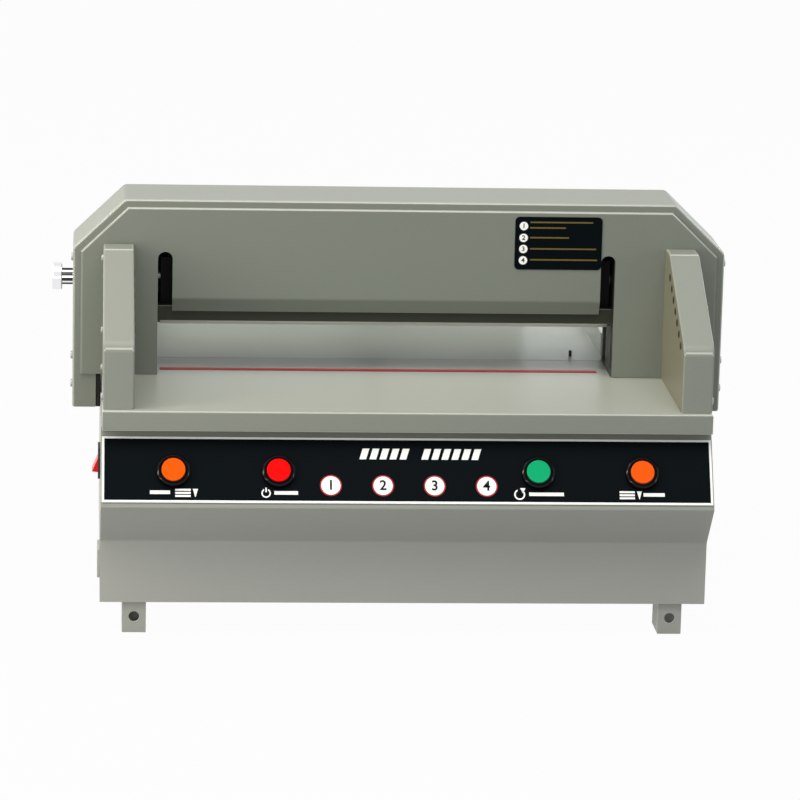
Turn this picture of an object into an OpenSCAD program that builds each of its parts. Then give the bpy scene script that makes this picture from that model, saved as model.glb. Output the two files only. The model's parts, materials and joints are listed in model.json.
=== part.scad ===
// Desktop paper cutter with a powered knife, a powered clamp and a light barrier.
// Millimetres. X to the right, Y to the rear, Z up.
// The modules measure from the middle of the table's front top edge, and place() moves
// the whole machine so that its origin is the middle of its footprint on the floor.

/* [Casing] */
// Width of the casing under the table
base_w = 598; // [570:1:620]
// How far the casing reaches behind the table's front edge
base_d = 430; // [410:1:470]
// Height from the casing's bottom to the table top
base_h = 197; // [185:1:240]
// How far the slanted panel starts behind the table's front edge
panel_setback = 19; // [14:1:26]
// How far the nose stands in front of the table's front edge
nose_reach = 23.8; // [15:0.1:30]
// How far the nose lies below the table top
nose_drop = 90.1; // [82:0.1:96]
// How far the kink under the nose lies below the table top
kink_drop = 134.5; // [125:0.5:145]
// How far the lower front face stands behind the table's front edge
lower_setback = 18.5; // [10:0.5:26]
// Thickness of the casing and hood sheet
sheet = 2; // [1.5:0.5:3]
// Width of the flanges that the tables sit on
seat_w = 14; // [8:1:18]

/* [Feet] */
// Width of a foot
foot_w = 23.5; // [20:0.5:30]
// Depth of a foot from front to rear
foot_d = 40; // [30:1:60]
// Height of a foot
foot_h = 32; // [28:1:45]
// Distance from the casing's side to a foot
foot_inset = 22; // [10:1:40]
// Setback of a foot from the casing's front and rear faces
foot_setback = 4; // [2:1:10]
// Wall of a foot
foot_wall = 3; // [2:0.5:4]
// Diameter of a foot's bolt hole
foot_hole = 10.2; // [6:0.2:12]
// Height of a foot's bolt hole above the floor
foot_hole_z = 16.3; // [13:0.1:20]

/* [Tables] */
// Distance from the casing's side to the tables
table_edge = 1; // [1:0.5:4]
// Thickness of the table plates
table_t = 12; // [8:1:14]
// Height of the lips around the tables
lip_h = 20; // [16:1:24]
// Width of the lips at the sides and the rear
lip_w = 10; // [6:1:14]
// Depth of the front lip
front_lip_d = 24; // [22:1:32]
// Where the joint between front and rear table lies behind the front edge
table_joint = 242; // [240:1:244]
// Gap in that joint
joint_gap = 0.5; // [0.3:0.1:1]
// Where the rear table ends behind the front edge
rear_end = 560; // [540:1:620]
// Width of the cutting stick
stick_w = 13; // [10:0.5:16]
// Height of the cutting stick
stick_h = 8; // [6:0.5:9]
// Distance from the throat's left side to the stick
stick_left = 3.2; // [1:0.1:6]
// Distance from the throat's right side to the stick
stick_right = 12.2; // [6:0.1:20]

/* [Hood] */
// How far the hood stands out beside the casing
hood_overhang = 28.5; // [24:0.1:36]
// Width of the hood's chamfers
chamfer_w = 51.3; // [40:0.1:52]
// Height of the hood above the table
hood_h = 177.7; // [172:0.1:200]
// Height where the chamfers begin above the table
hood_shoulder = 128.4; // [120:0.2:140]
// Where the hood's rim lies behind the table's front edge
hood_front = 164; // [163:0.5:166]
// Depth of the hood
hood_d = 87; // [86:0.5:100]
// How far the skirts hang below the table top
skirt_drop = 35; // [25:0.5:45]
// Width of a skirt
skirt_w = 23.5; // [20:0.5:24]
// Width of the hood's front rim
rim_w = 16; // [12:1:20]
// Inset of the front plate from the hood's outline
plate_inset = 7.5; // [5:0.5:9]
// How far the front plate stands proud of the rim
plate_proud = 3; // [2.5:0.5:4]

/* [Throat] */
// Width of the left column, from the casing's side to the throat
left_column = 56.1; // [55:0.1:75]
// Width of the right column, from the casing's side to the throat
right_column = 82.5; // [70:0.1:90]
// Height of the front plate's bent edge above the table
throat_h = 64; // [60:0.5:66]
// Height at which the front plate's edge starts to bend in
lip_bend = 78; // [74:0.5:84]
// How far the bent edge reaches in
lip_reach = 7; // [4:0.5:8]
// Width of the two slots
slot_w = 14.5; // [10:0.5:18]
// Height of the slots' round tops above the table
slot_top = 125.5; // [110:0.5:135]

/* [Wings] */
// Distance from the table's side to a wing
wing_edge = 0.5; // [0.5:0.5:20]
// Width of a wing
wing_w = 30.5; // [24:0.5:32]
// Setback of a wing from the table's front edge
wing_setback = 5.6; // [2:0.2:12]
// Height of a wing's upright front
wing_bend = 63.8; // [50:0.2:80]
// Height of a wing's top
wing_h = 133; // [120:1:145]
// Depth of a wing's flat top
wing_top_d = 25.5; // [15:0.5:40]
// Number of photocells
cell_count = 7; // [4:1:7]
// Spacing of the photocells
cell_pitch = 17.5; // [12:0.5:18]
// Distance from the slanted edge to the photocells
cell_edge = 12; // [9:0.5:16]
// Diameter of a photocell hole
cell_hole = 4.4; // [3:0.1:6]

/* [Knife] */
// Where the knife's cutting line lies behind the hood's rim
knife_setback = 26; // [25:0.5:28]
// Height of the raised knife's edge above the table
knife_rise = 46.5; // [40:0.5:48]
// Thickness of the blade
blade_t = 9; // [7:0.5:10]
// Height of the blade
blade_h = 70; // [60:1:75]
// Height of the blade's bevel
bevel_h = 19.5; // [14:0.5:24]
// Thickness of the knife carrier
carrier_t = 9; // [7:0.5:9]
// Height of the knife carrier
carrier_h = 64; // [50:1:68]
// Height of the carrier's ends
carrier_end_h = 15; // [10:0.5:15]
// Distance from the blade's edge up to the carrier
carrier_up = 7; // [5:0.5:10]
// Diameter of a knife bolt
bolt_d = 8; // [6:0.5:10]

/* [Clamp] */
// Height of the raised clamp above the table
clamp_rise = 47.5; // [41:0.5:49]
// Height of the clamp beam
clamp_h = 20.5; // [18:0.5:20.5]
// Gap between knife and clamp
clamp_gap = 1; // [0.5:0.1:1.5]
// Depth of the clamp beam
clamp_d = 51; // [46:0.5:52]
// Depth of a clamp arm
arm_d = 22; // [18:0.5:22]
// Height of a clamp arm
arm_h = 18; // [14:0.5:18]
// Diameter of a clamp screw
screw_d = 10; // [8:0.5:11]
// Diameter of a clamp screw's journals
journal_d = 8; // [6:0.5:9]
// Diameter of the clamp belt's pulleys
pulley_d = 16; // [13:0.5:16]

/* [Drive] */
// Thickness of the side frames
frame_t = 19; // [14:0.5:19]
// Height of the side frames above the table
frame_top = 150; // [145:1:155]
// Diameter of the cross shaft and of the motor's output shaft
shaft_d = 16; // [12:0.5:18]
// Height of the cross shaft above the raised clamp
shaft_over_clamp = 24.5; // [24:0.5:30]
// Module of the rack and pinion teeth
tooth_module = 2; // [1.8:0.1:2]
// Number of pinion teeth
pinion_teeth = 20; // [18:1:20]
// Width of racks and pinions
gear_w = 12; // [8:0.5:12]
// Thickness of a rack's back
rack_back = 6; // [4:0.5:7]
// Room above the racks, under the hood's top
rack_room = 5.3; // [4:0.1:10]
// How far the motor's shaft lies below the table top
motor_drop = 95; // [92:1:110]
// Diameter of the sprockets
sprocket_d = 37; // [30:0.5:40]
// Thickness of the chain
chain_t = 6; // [4:0.5:7]
// Diameter of the knife motor
motor_d = 84; // [70:1:84]
// Length of the knife motor
motor_l = 146; // [120:1:160]

/* [Controls] */
// Distance of the buttons from the table lip, along the slanted panel
button_row = 45.8; // [38:0.2:48]
// Distance from the middle to the outer buttons
outer_button_x = 228.8; // [200:0.2:240]
// Distance from the middle to the inner buttons
inner_button_x = 126.7; // [100:0.2:150]
// Diameter of a button
button_d = 23.2; // [20:0.2:24]
// Diameter of a bezel
bezel_d = 32.4; // [29:0.2:36]
// Diameter of the panel hole for a button
panel_hole = 22.4; // [20:0.2:23]
// Travel of a button
button_travel = 3; // [2:0.5:4]
// Distance of the control plate from the table lip, along the slanted panel
plate_from_lip = 10.5; // [6:0.5:13]
// Height of the control plate along the slanted panel
plate_h = 67; // [60:0.5:68]
// Distance from the casing's side to the control plate
plate_edge = 1; // [1:0.5:20]
// Thickness of the control plate
plate_t = 1.5; // [1:0.5:2]
// Where the rocker switch lies behind the table's front edge
rocker_y = 100; // [80:1:130]
// How far the rocker switch lies below the table top
rocker_drop = 74; // [65:1:95]
// Height of the rocker switch's frame
rocker_frame_h = 31; // [30:0.5:42]
// Width of the rocker switch's frame
rocker_frame_w = 27; // [26:0.5:32]
// Diameter of the chrome knob
knob_d = 27.8; // [22:0.2:34]
// Length of the chrome knob's head
knob_l = 10; // [7:0.5:14]
// Diameter of the chrome knob's collar
collar_d = 17.2; // [14:0.2:20]
// How far the chrome knob reaches out of the hood
knob_reach = 21; // [18:0.1:30]
// Height of the chrome knob above the table
knob_rise = 86; // [75:1:95]

/* [Rear] */
// Width of the back gauge
gauge_w = 396; // [200:2:440]
// Distance from the throat's left side to the back gauge
gauge_side = 3; // [1:0.5:20]
// Height of the back gauge
gauge_h = 62; // [60:0.5:62]
// Room behind the back gauge, up to the rail's post
gauge_room = 45.7; // [40:0.1:120]
// Diameter of the gauge rail
rail_d = 10; // [8:0.5:12]
// Height of the gauge rail above the table
rail_rise = 54; // [53:0.5:54]
// Height of the clear cover above the table
cover_h = 70; // [69:0.5:74]
// Distance from the table's side to the clear cover
cover_edge = 8; // [3:0.5:30]
// Wall of the clear cover
cover_t = 4; // [3:0.5:4]
// Height of the cover's hinge line above the table
hinge_rise = 72; // [71:0.5:76]
// Diameter of a hinge pin
pin_d = 5; // [3:0.5:6]
// Height of the side guides
guide_h = 25; // [15:1:40]

/* [Hidden] */
$fn = 64;
// Gap of sliding faces, gap of shafts in bores, and gap between pieces that only stand near each other
slide_gap = 0.1;
run_gap = 0.05;
near_gap = 0.3;
// Length by which a cut runs past a face
past = 1;
// Size of the screw heads on the outside
head_d = 8;
head_h = 2;

floor_z = -base_h - foot_h;
table_w = base_w - 2 * table_edge;
hood_w = base_w + 2 * hood_overhang;
hood_top_w = hood_w - 2 * chamfer_w;
hood_back = hood_front + hood_d;
plate_y = hood_front - plate_proud;
throat_l = -base_w / 2 + left_column;
throat_r = base_w / 2 - right_column;
throat_w = throat_r - throat_l;
throat_mid = (throat_l + throat_r) / 2;
stick_l = throat_w - stick_left - stick_right;

// Casing profile as [y, z], counter-clockwise from the top front corner
panel_top = [panel_setback, -lip_h];
nose = [-nose_reach, -nose_drop];
kink = [lower_setback, -kink_drop];
casing_profile = [panel_top, nose, kink, [lower_setback, -base_h], [base_d, -base_h], [base_d, -lip_h]];
panel_tilt = atan2(panel_top.y - nose.y, panel_top.x - nose.x);

// Hood profile as [x, z], counter-clockwise from the lower left corner
hood_profile = [
    [-hood_w / 2, -skirt_drop], [hood_w / 2, -skirt_drop],
    [hood_w / 2, hood_shoulder], [hood_top_w / 2, hood_h],
    [-hood_top_w / 2, hood_h], [-hood_w / 2, hood_shoulder]
];
skirt_x = hood_w / 2 - skirt_w;

// Wing profile as [y, z], counter-clockwise from the lower front corner
wing_top_y = plate_y - wing_top_d;
wing_foot = near_gap;
wing_slope = atan2(wing_h - wing_bend, wing_top_y - wing_setback);
wing_x = table_w / 2 - wing_edge - wing_w;

// Knife and clamp places
knife_y = hood_front + knife_setback;
blade_front = knife_y - blade_t;
carrier_front = blade_front - carrier_t;
carrier_z = knife_rise + carrier_up;
edge_low = 0.1;
knife_travel = knife_rise - edge_low;
clamp_low = 0.5;
clamp_travel = clamp_rise - clamp_low;
clamp_y = knife_y + clamp_gap;
clamp_back = clamp_y + clamp_d;
arm_y = clamp_back - arm_d;
arm_z = clamp_rise + clamp_h - arm_h;
screw_y = clamp_back - arm_d / 2;
blade_side_gap = 3;
bolt_count = 5;

// Frame outline
frame_setback = 4;
frame_front = hood_front + frame_setback;
frame_back = hood_back - sheet - near_gap - 0.2;
frame_foot_front = 60;
frame_foot_back = base_d - 10;
frame_l = throat_l - frame_t;
frame_r = throat_r + frame_t;

// Places in the columns, as distances from a frame's outer face
gear_off = 2;
screw_off = 24;
arm_off = 34;
chain_off = arm_off + 3;
chain_w = 6;

// Rack and pinion
tooth_pitch = PI * tooth_module;
pinion_r = tooth_module * pinion_teeth / 2;
addendum = tooth_module;
dedendum = 1.25 * tooth_module;
tooth_play = 0.5;
flank_angle = 20;
rack_y = blade_front;
rack_root_y = rack_y + rack_back;
shaft_y = rack_root_y + dedendum + pinion_r;
shaft_rise = clamp_rise + clamp_h + shaft_over_clamp;
rack_z = carrier_z - 4;
rack_l = hood_h - sheet - rack_room - rack_z;
shaft_end_l = frame_l - gear_off - gear_w - 2;
shaft_end_r = frame_r + chain_off + chain_w + 2;
sprocket_teeth = 16;
chain_x = frame_r + chain_off;

// Belt drive of the clamp
belt_z = -38;
belt_w = 10;
belt_t = 2;
belt_room = 6;
bearing_t = 10;
bearing_low_z = belt_z - 20;
bearing_top_z = 128;
bearing_w = 20;
clamp_motor_x = -60;
clamp_motor_d = 56;
clamp_motor_l = 84;
clamp_motor_z = belt_z - 8;

// Gearbox of the knife motor
gearbox_l = 70;
gearbox_h = 90;
output_seat = 22;

// Buttons, measured along the panel's normal from the panel's face
bezel_rise = 5.5;
bezel_floor = 1;
button_rest = plate_t + bezel_floor + button_travel + 0.5;
button_h = 2;
plate_w = base_w - 2 * plate_edge;
stem_d = 12;
stem_end = 4;
stem_room = 3;
neck_depth = 18;
block_depth = 32;
block_s = 28;

// Rocker switch
rocker_w = 20;
rocker_h = 21.5;
rocker_proud = 2.5;
rocker_body = 26;
rocker_wall = 3;
rocker_pin_d = 4;

// Rear of the machine
cover_front = hood_back + 13;
cover_back = rear_end - 8;
cover_w = table_w - 2 * cover_edge;
hinge_y = hood_back + 7;
barrel_d = 10;
hinge_x = 180;
hinge_w = 40;
knuckle_w = 15.4;
leaf_h = 26;
leaf_t = 2;
leaf_low = 6;
gauge_t = 8;
gauge_block_w = 40;
gauge_block_d = 32;
gauge_block_h = 18;
rail_post_d = 12;
rail_post_w = 20;
rail_post_y = cover_back - cover_t - near_gap - rail_post_d;
gauge_y = rail_post_y - gauge_room - gauge_block_d - gauge_t;
lock_d = 16;
lock_l = 14;
lock_stem_d = 6;
guide_w = 18;
inlet_w = 50;
inlet_h = 28;
inlet_side = 11.5;
inlet_x = throat_r - inlet_side - inlet_w / 2;
inlet_z = -150;
vent_w = 40;
vent_h = 28;
vent_t = 2.7;
vent_y = 40;
vent_z = -178;
vent_slots = 4;
board_w = 180;
board_d = 110;
board_t = 2;
board_side = 20;
board_front = 30;
standoff_h = 12;
standoff_d = 8;
supply_w = 50;
supply_d = 40;
supply_h = 36;
relay_w = 15;
relay_d = 30;
relay_h = 16;
relay_pitch = 20;
part_edge = 20;

// Extents of the whole machine
x_min = -hood_w / 2 - knob_reach;
x_max = hood_w / 2 + head_h;
y_min = -nose_reach;
y_max = rear_end;

// Helpers

function unit(v) = v / norm(v);

// Closed outline moved inwards by t, for points that run counter-clockwise
function inset(p, t) = [
    for (i = [0 : len(p) - 1])
        let (
            u = unit(p[i] - p[(i + len(p) - 1) % len(p)]),
            v = unit(p[(i + 1) % len(p)] - p[i]),
            n = [-u.y, u.x],
            m = [-v.y, v.x]
        )
        p[i] + t * (n + m) / (1 + n * m)
];

// Point of a list with its height replaced
function at_height(q, z) = [q.x, z];

module place() translate([-(x_min + x_max) / 2, -(y_min + y_max) / 2, -floor_z]) children();

// Extrudes an outline given in [y, z] along X, from x0
module along_x(x0, w) translate([x0, 0, 0]) rotate([90, 0, 90]) linear_extrude(w) children();

// Extrudes an outline given in [x, z] along Y, from y0
module along_y(y0, d) translate([0, y0 + d, 0]) rotate([90, 0, 0]) linear_extrude(d) children();

module box(x0, x1, y0, y1, z0, z1) translate([x0, y0, z0]) cube([x1 - x0, y1 - y0, z1 - z0]);

module rod_x(x0, x1, y, z, d) translate([x0, y, z]) rotate([0, 90, 0]) cylinder(d = d, h = x1 - x0);

module rod_y(x, y0, y1, z, d) translate([x, y1, z]) rotate([90, 0, 0]) cylinder(d = d, h = y1 - y0);

module rod_z(x, y, z0, z1, d) translate([x, y, z0]) cylinder(d = d, h = z1 - z0);

// Moves children onto the slanted panel: X along it, Y up it, Z out of it
module on_panel() translate([0, panel_top.x, panel_top.y]) rotate([panel_tilt, 0, 0]) children();

module at_button(x) on_panel() translate([x, -button_row, 0]) children();

module at_all_buttons()
    for (x = [-outer_button_x, -inner_button_x, inner_button_x, outer_button_x])
        at_button(x) children();

// Colours of the finishes
module painted() color([0.56, 0.58, 0.52]) children();
module steel() color([0.62, 0.63, 0.64]) children();
module dark_steel() color([0.25, 0.26, 0.22]) children();
module black() color([0.08, 0.08, 0.09]) children();

// Casing

module bottom_plate() painted() place()
    box(-base_w / 2 + sheet, base_w / 2 - sheet, lower_setback + sheet, base_d - sheet,
        -base_h, -base_h + sheet);

module front_cover() painted() place() difference() {
    inner = inset(casing_profile, sheet);
    along_x(-base_w / 2, base_w)
        polygon([panel_top, nose, kink, at_height(kink, -base_h),
            at_height(inner[2], -base_h), inner[2], inner[1], at_height(inner[0], -lip_h)]);
    at_all_buttons() translate([0, 0, -neck_depth]) cylinder(d = panel_hole, h = neck_depth + past);
}

module side_panel(side, switch_hole) painted() place() difference() {
    inner = inset(casing_profile, sheet);
    x0 = side < 0 ? -base_w / 2 : base_w / 2 - sheet;
    seat_x = side < 0 ? -base_w / 2 : base_w / 2 - seat_w;
    union() {
        along_x(x0, sheet)
            polygon([at_height(inner[0], -lip_h), inner[1], inner[2], at_height(inner[2], -base_h),
                [base_d, -base_h], [base_d, -lip_h]]);
        box(seat_x, seat_x + seat_w, panel_setback + sheet * 2, hood_front, -lip_h - sheet, -lip_h);
        box(seat_x, seat_x + seat_w, hood_back, base_d - sheet, -lip_h - sheet, -lip_h);
    }
    if (switch_hole)
        box(-base_w / 2 - past, -base_w / 2 + sheet + past,
            rocker_y - rocker_w / 2 - rocker_wall, rocker_y + rocker_w / 2 + rocker_wall,
            -rocker_drop - rocker_h / 2 - rocker_wall, -rocker_drop + rocker_h / 2 + rocker_wall);
}

module left_side_panel() side_panel(-1, true);
module right_side_panel() side_panel(1, false);

module rear_panel() painted() place() difference() {
    union() {
        box(-base_w / 2 + sheet, base_w / 2 - sheet, base_d - sheet, base_d, -base_h + sheet, -lip_h);
        box(-table_w / 2 + lip_w, table_w / 2 - lip_w, base_d - sheet, base_d, -lip_h, -table_t);
    }
    box(inlet_x - inlet_w / 2 + 4, inlet_x + inlet_w / 2 - 4, base_d - sheet - past, base_d + past,
        inlet_z - inlet_h / 2 + 2, inlet_z + inlet_h / 2 - 2);
}

module control_plate() black() place() difference() {
    on_panel() translate([-plate_w / 2, -plate_from_lip - plate_h, 0]) cube([plate_w, plate_h, plate_t]);
    at_all_buttons() translate([0, 0, -past]) cylinder(d = panel_hole, h = plate_t + 2 * past);
}

module side_vents() painted() place()
    for (side = [-1, 1])
        difference() {
            x0 = side < 0 ? -base_w / 2 - vent_t : base_w / 2;
            box(x0, x0 + vent_t, vent_y, vent_y + vent_w, vent_z, vent_z + vent_h);
            step = vent_h / (vent_slots + 0.5);
            for (i = [0 : vent_slots - 1])
                box(x0 - past, x0 + vent_t + past, vent_y + 5, vent_y + vent_w - 5,
                    vent_z + (i + 0.5) * step, vent_z + (i + 1) * step);
        }

// A foot is a box that is open on its right, and its outer face has the bolt hole
module foot(x_side, y_side) steel() place() {
    x0 = x_side < 0 ? -base_w / 2 + foot_inset : base_w / 2 - foot_inset - foot_w;
    y0 = y_side < 0 ? lower_setback + foot_setback : base_d - foot_setback - foot_d;
    face_y = y_side < 0 ? y0 : y0 + foot_d - foot_wall;
    difference() {
        union() {
            box(x0, x0 + foot_w, y0, y0 + foot_d, floor_z, floor_z + foot_wall);
            box(x0, x0 + foot_w, y0, y0 + foot_d, -base_h - foot_wall, -base_h);
            for (y = [y0, y0 + foot_d - foot_wall])
                box(x0, x0 + foot_w, y, y + foot_wall, floor_z, -base_h);
            box(x0, x0 + foot_wall, y0, y0 + foot_d, floor_z, -base_h);
        }
        rod_y(x0 + foot_w / 2, face_y - past, face_y + foot_wall + past, floor_z + foot_hole_z, foot_hole);
    }
}

module front_left_foot() foot(-1, -1);
module front_right_foot() foot(1, -1);
module rear_left_foot() foot(-1, 1);
module rear_right_foot() foot(1, 1);

// Frames and tables

// A side frame carries the tables, guides the knife and the clamp, and bears the shafts
module side_frame(x0) place() difference() {
    along_x(x0, frame_t) polygon([
        [frame_foot_front, -base_h + sheet], [frame_foot_back, -base_h + sheet],
        [frame_foot_back, -table_t], [frame_back, -table_t], [frame_back, frame_top],
        [frame_front, frame_top], [frame_front, -table_t], [frame_foot_front, -table_t]
    ]);
    box(x0 - past, x0 + frame_t + past, carrier_front - slide_gap, blade_front + slide_gap,
        carrier_z - knife_travel - past, carrier_z + carrier_end_h + past);
    box(x0 - past, x0 + frame_t + past, arm_y - slide_gap, clamp_back + slide_gap,
        arm_z - clamp_travel - past, arm_z + arm_h + past);
    box(x0 - past, x0 + frame_t + past, screw_y - pulley_d, screw_y + pulley_d,
        belt_z - belt_room, belt_z + belt_w + belt_room);
    rod_x(x0 - past, x0 + frame_t + past, shaft_y, shaft_rise, shaft_d + 2 * run_gap);
    rod_x(x0 - past, x0 + frame_t + past, shaft_y, -motor_drop, shaft_d + 2 * run_gap);
}

module left_side_frame() dark_steel() side_frame(throat_l - frame_t);
module right_side_frame() dark_steel() side_frame(throat_r);

// The bridge ties the frames together and holds up the hood on two posts
bridge_h = 25;
bridge_y = shaft_y - 5;
post_s = 30;
module bridge_beam() dark_steel() place() {
    box(throat_l, throat_r, bridge_y, frame_back, frame_top - bridge_h, frame_top);
    for (x = [throat_l + throat_w / 5, throat_r - throat_w / 5])
        box(x - post_s / 2, x + post_s / 2, bridge_y, bridge_y + post_s, frame_top, hood_h - sheet);
}

module front_table() painted() place() difference() {
    side_reach = table_w / 2;
    table_back = frame_front - 0.5;
    union() {
        box(-side_reach, side_reach, 0, table_back, -table_t, 0);
        box(throat_l + near_gap, throat_r - near_gap, 0, table_joint, -table_t, 0);
        box(-side_reach, side_reach, 0, front_lip_d, -lip_h, 0);
        for (x = [-side_reach, side_reach - lip_w])
            box(x, x + lip_w, 0, table_back, -lip_h, 0);
    }
    box(throat_l + stick_left - slide_gap, throat_l + stick_left + stick_l + slide_gap,
        knife_y - stick_w / 2 - slide_gap, knife_y + stick_w / 2 + slide_gap, -stick_h - stick_sink, past);
}

module rear_table() painted() place() {
    side_reach = table_w / 2;
    box(throat_l + near_gap, throat_r - near_gap, table_joint + joint_gap, hood_back + near_gap, -table_t, 0);
    box(-side_reach, side_reach, hood_back + near_gap, rear_end, -table_t, 0);
    box(-side_reach, side_reach, rear_end - lip_w, rear_end, -lip_h, 0);
    for (x = [-side_reach, side_reach - lip_w])
        box(x, x + lip_w, hood_back + near_gap, rear_end, -lip_h, 0);
}

// The stick lies a little below the table top, so that the lowered knife stays clear of it
stick_sink = 0.2;
module cutting_stick() color([0.72, 0.06, 0.07]) place()
    box(throat_l + stick_left, throat_l + stick_left + stick_l,
        knife_y - stick_w / 2, knife_y + stick_w / 2, -stick_h - stick_sink, -stick_sink);

// Light barrier wings

// Outline of a wing as [y, z], with its rear and its bottom moved out by extra
function wing_profile(extra) = [
    [wing_setback, wing_foot - extra], [plate_y + extra, wing_foot - extra],
    [plate_y + extra, wing_h], [wing_top_y, wing_h], [wing_setback, wing_bend]
];

// Moves children along the row of photocells: X to the machine's right, Y along the slope
module along_cells(x)
    translate([x, wing_setback, wing_bend]) rotate([wing_slope, 0, 0])
        translate([0, 0, -cell_edge]) children();

first_cell = 20;

// side is -1 for the left wing, and its inner wall is then on the right
module wing(side) painted() place() difference() {
    x0 = side < 0 ? -wing_x - wing_w : wing_x;
    along_x(x0, wing_w) polygon(wing_profile(0));
    along_x(x0 + sheet, wing_w - 2 * sheet) polygon(inset(wing_profile(2 * sheet), sheet));
    hole_x = side < 0 ? -wing_x - sheet : wing_x;
    for (i = [0 : cell_count - 1])
        along_cells(hole_x - past) translate([0, first_cell + i * cell_pitch, 0])
            rotate([0, 90, 0]) cylinder(d = cell_hole, h = sheet + 2 * past);
}

module left_wing() wing(-1);
module right_wing() wing(1);

// Bar with a photocell behind each hole
bar_h = 10;
bar_w = 12;
module light_barrier(side) black() place() {
    wall_x = side < 0 ? -wing_x - sheet : wing_x + sheet;
    bar_x = side < 0 ? wall_x - bar_w : wall_x;
    bar_l = (cell_count - 1) * cell_pitch + bar_h;
    along_cells(bar_x) translate([0, first_cell - bar_h / 2, -bar_h / 2]) cube([bar_w, bar_l, bar_h]);
    cell_x = side < 0 ? wall_x : wall_x - sheet + near_gap;
    for (i = [0 : cell_count - 1])
        along_cells(cell_x) translate([0, first_cell + i * cell_pitch, 0])
            rotate([0, 90, 0]) cylinder(d = cell_hole - 2 * near_gap, h = sheet - near_gap);
}

module left_light_barrier() light_barrier(-1);
module right_light_barrier() light_barrier(1);

// Hood

module hood_shell() painted() place() difference() {
    inner = inset(hood_profile, sheet);
    window = inset(hood_profile, rim_w);
    union() {
        along_y(hood_front, hood_d) difference() {
            polygon(hood_profile);
            polygon([at_height(inner[0], -skirt_drop - past), at_height(inner[1], -skirt_drop - past),
                inner[2], inner[3], inner[4], inner[5]]);
        }
        along_y(hood_front, sheet) difference() {
            polygon(hood_profile);
            polygon([at_height(window[0], 0), at_height(window[1], 0),
                window[2], window[3], window[4], window[5]]);
            translate([-skirt_x, -skirt_drop - past]) square([2 * skirt_x, skirt_drop + past]);
        }
        for (x = [-hood_w / 2, skirt_x])
            box(x, x + skirt_w, hood_front, hood_back, -skirt_drop, -skirt_drop + sheet);
    }
    rod_x(-hood_w / 2 - past, -hood_w / 2 + sheet + past, knob_y, knob_rise, knob_stem_d + 2 * run_gap);
}

module hood_front_plate() painted() place() difference() {
    outline = inset(hood_profile, plate_inset);
    pocket = inset(hood_profile, plate_inset + sheet);
    union() {
        difference() {
            along_y(plate_y, plate_proud)
                polygon([at_height(outline[0], near_gap), at_height(outline[1], near_gap),
                    outline[2], outline[3], outline[4], outline[5]]);
            along_y(plate_y + sheet, plate_proud)
                polygon([at_height(pocket[0], sheet), at_height(pocket[1], sheet),
                    pocket[2], pocket[3], pocket[4], pocket[5]]);
            box(throat_l, throat_r, plate_y - past, hood_front + past, -past, lip_bend);
            for (x = [throat_l, throat_r - slot_w]) {
                box(x, x + slot_w, plate_y - past, hood_front + past, 0, slot_top - slot_w / 2);
                rod_y(x + slot_w / 2, plate_y - past, hood_front + past, slot_top - slot_w / 2, slot_w);
            }
        }
        along_x(throat_l + slot_w, throat_w - 2 * slot_w)
            polygon([[plate_y, lip_bend], [plate_y + lip_reach, throat_h],
                [plate_y + lip_reach + sheet, throat_h], [plate_y + sheet, lip_bend]]);
    }
}

// The rear plate closes the hood and leaves the paper's way free
rear_throat_h = clamp_rise + 1.5;
module hood_rear_plate() painted() place() difference() {
    inner = inset(hood_profile, sheet);
    along_y(hood_back - sheet, sheet)
        polygon([at_height(inner[0], -skirt_drop + sheet), at_height(inner[1], -skirt_drop + sheet),
            inner[2], inner[3], inner[4], inner[5]]);
    box(-skirt_x, skirt_x, hood_back - sheet - past, hood_back + past, -skirt_drop, near_gap);
    box(throat_l, throat_r, hood_back - sheet - past, hood_back + past, 0, rear_throat_h);
}

// Knife

bolt_head_d = bolt_d * 1.6;
bolt_head_h = carrier_t * 0.6;
bolt_depth = blade_t - 2;
bolt_z = carrier_z + carrier_h - 20;
bolt_edge = 40;
function bolt_x(i) = throat_l + bolt_edge + i * (throat_w - 2 * bolt_edge) / (bolt_count - 1);

module at_bolts() for (i = [0 : bolt_count - 1]) translate([bolt_x(i), 0, bolt_z]) children();

// The carrier's low ends pass through the side frames and hold the racks
module knife_carrier() dark_steel() place() difference() {
    union() {
        box(frame_l - gear_off - gear_w, frame_r + gear_off + gear_w,
            carrier_front, blade_front, carrier_z, carrier_z + carrier_end_h);
        box(throat_l + slot_w + 1, throat_r - slot_w - 1,
            carrier_front, blade_front, carrier_z, carrier_z + carrier_h);
    }
    at_bolts() {
        rod_y(0, carrier_front - past, blade_front + past, 0, bolt_d + 2 * slide_gap);
        rod_y(0, carrier_front - past, carrier_front + bolt_head_h, 0, bolt_head_d + 2 * slide_gap);
    }
}

module knife_blade() steel() place() difference() {
    along_x(throat_l + blade_side_gap, throat_w - 2 * blade_side_gap)
        polygon([[knife_y, knife_rise], [knife_y, knife_rise + blade_h],
            [blade_front, knife_rise + blade_h], [blade_front, knife_rise + bevel_h]]);
    at_bolts() rod_y(0, blade_front - past, blade_front + bolt_depth, 0, bolt_d + 2 * slide_gap);
}

module knife_bolts() steel() place() at_bolts() difference() {
    union() {
        rod_y(0, carrier_front + 0.5, carrier_front + bolt_head_h, 0, bolt_head_d);
        rod_y(0, carrier_front + 0.5, blade_front + bolt_depth, 0, bolt_d);
    }
    translate([0, carrier_front + bolt_head_h - 1, 0]) rotate([90, 0, 0])
        cylinder(d = bolt_d * 0.75, h = carrier_t, $fn = 6);
}

// Straight tooth as [across, up], with its pitch line at zero
function tooth(width) = let (
    half = width / 2,
    out = addendum * tan(flank_angle),
    in = dedendum * tan(flank_angle)
) [[-half - in, -dedendum], [half + in, -dedendum], [half - out, addendum], [-half + out, addendum]];

tooth_w = tooth_pitch / 2 - tooth_play;

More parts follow.
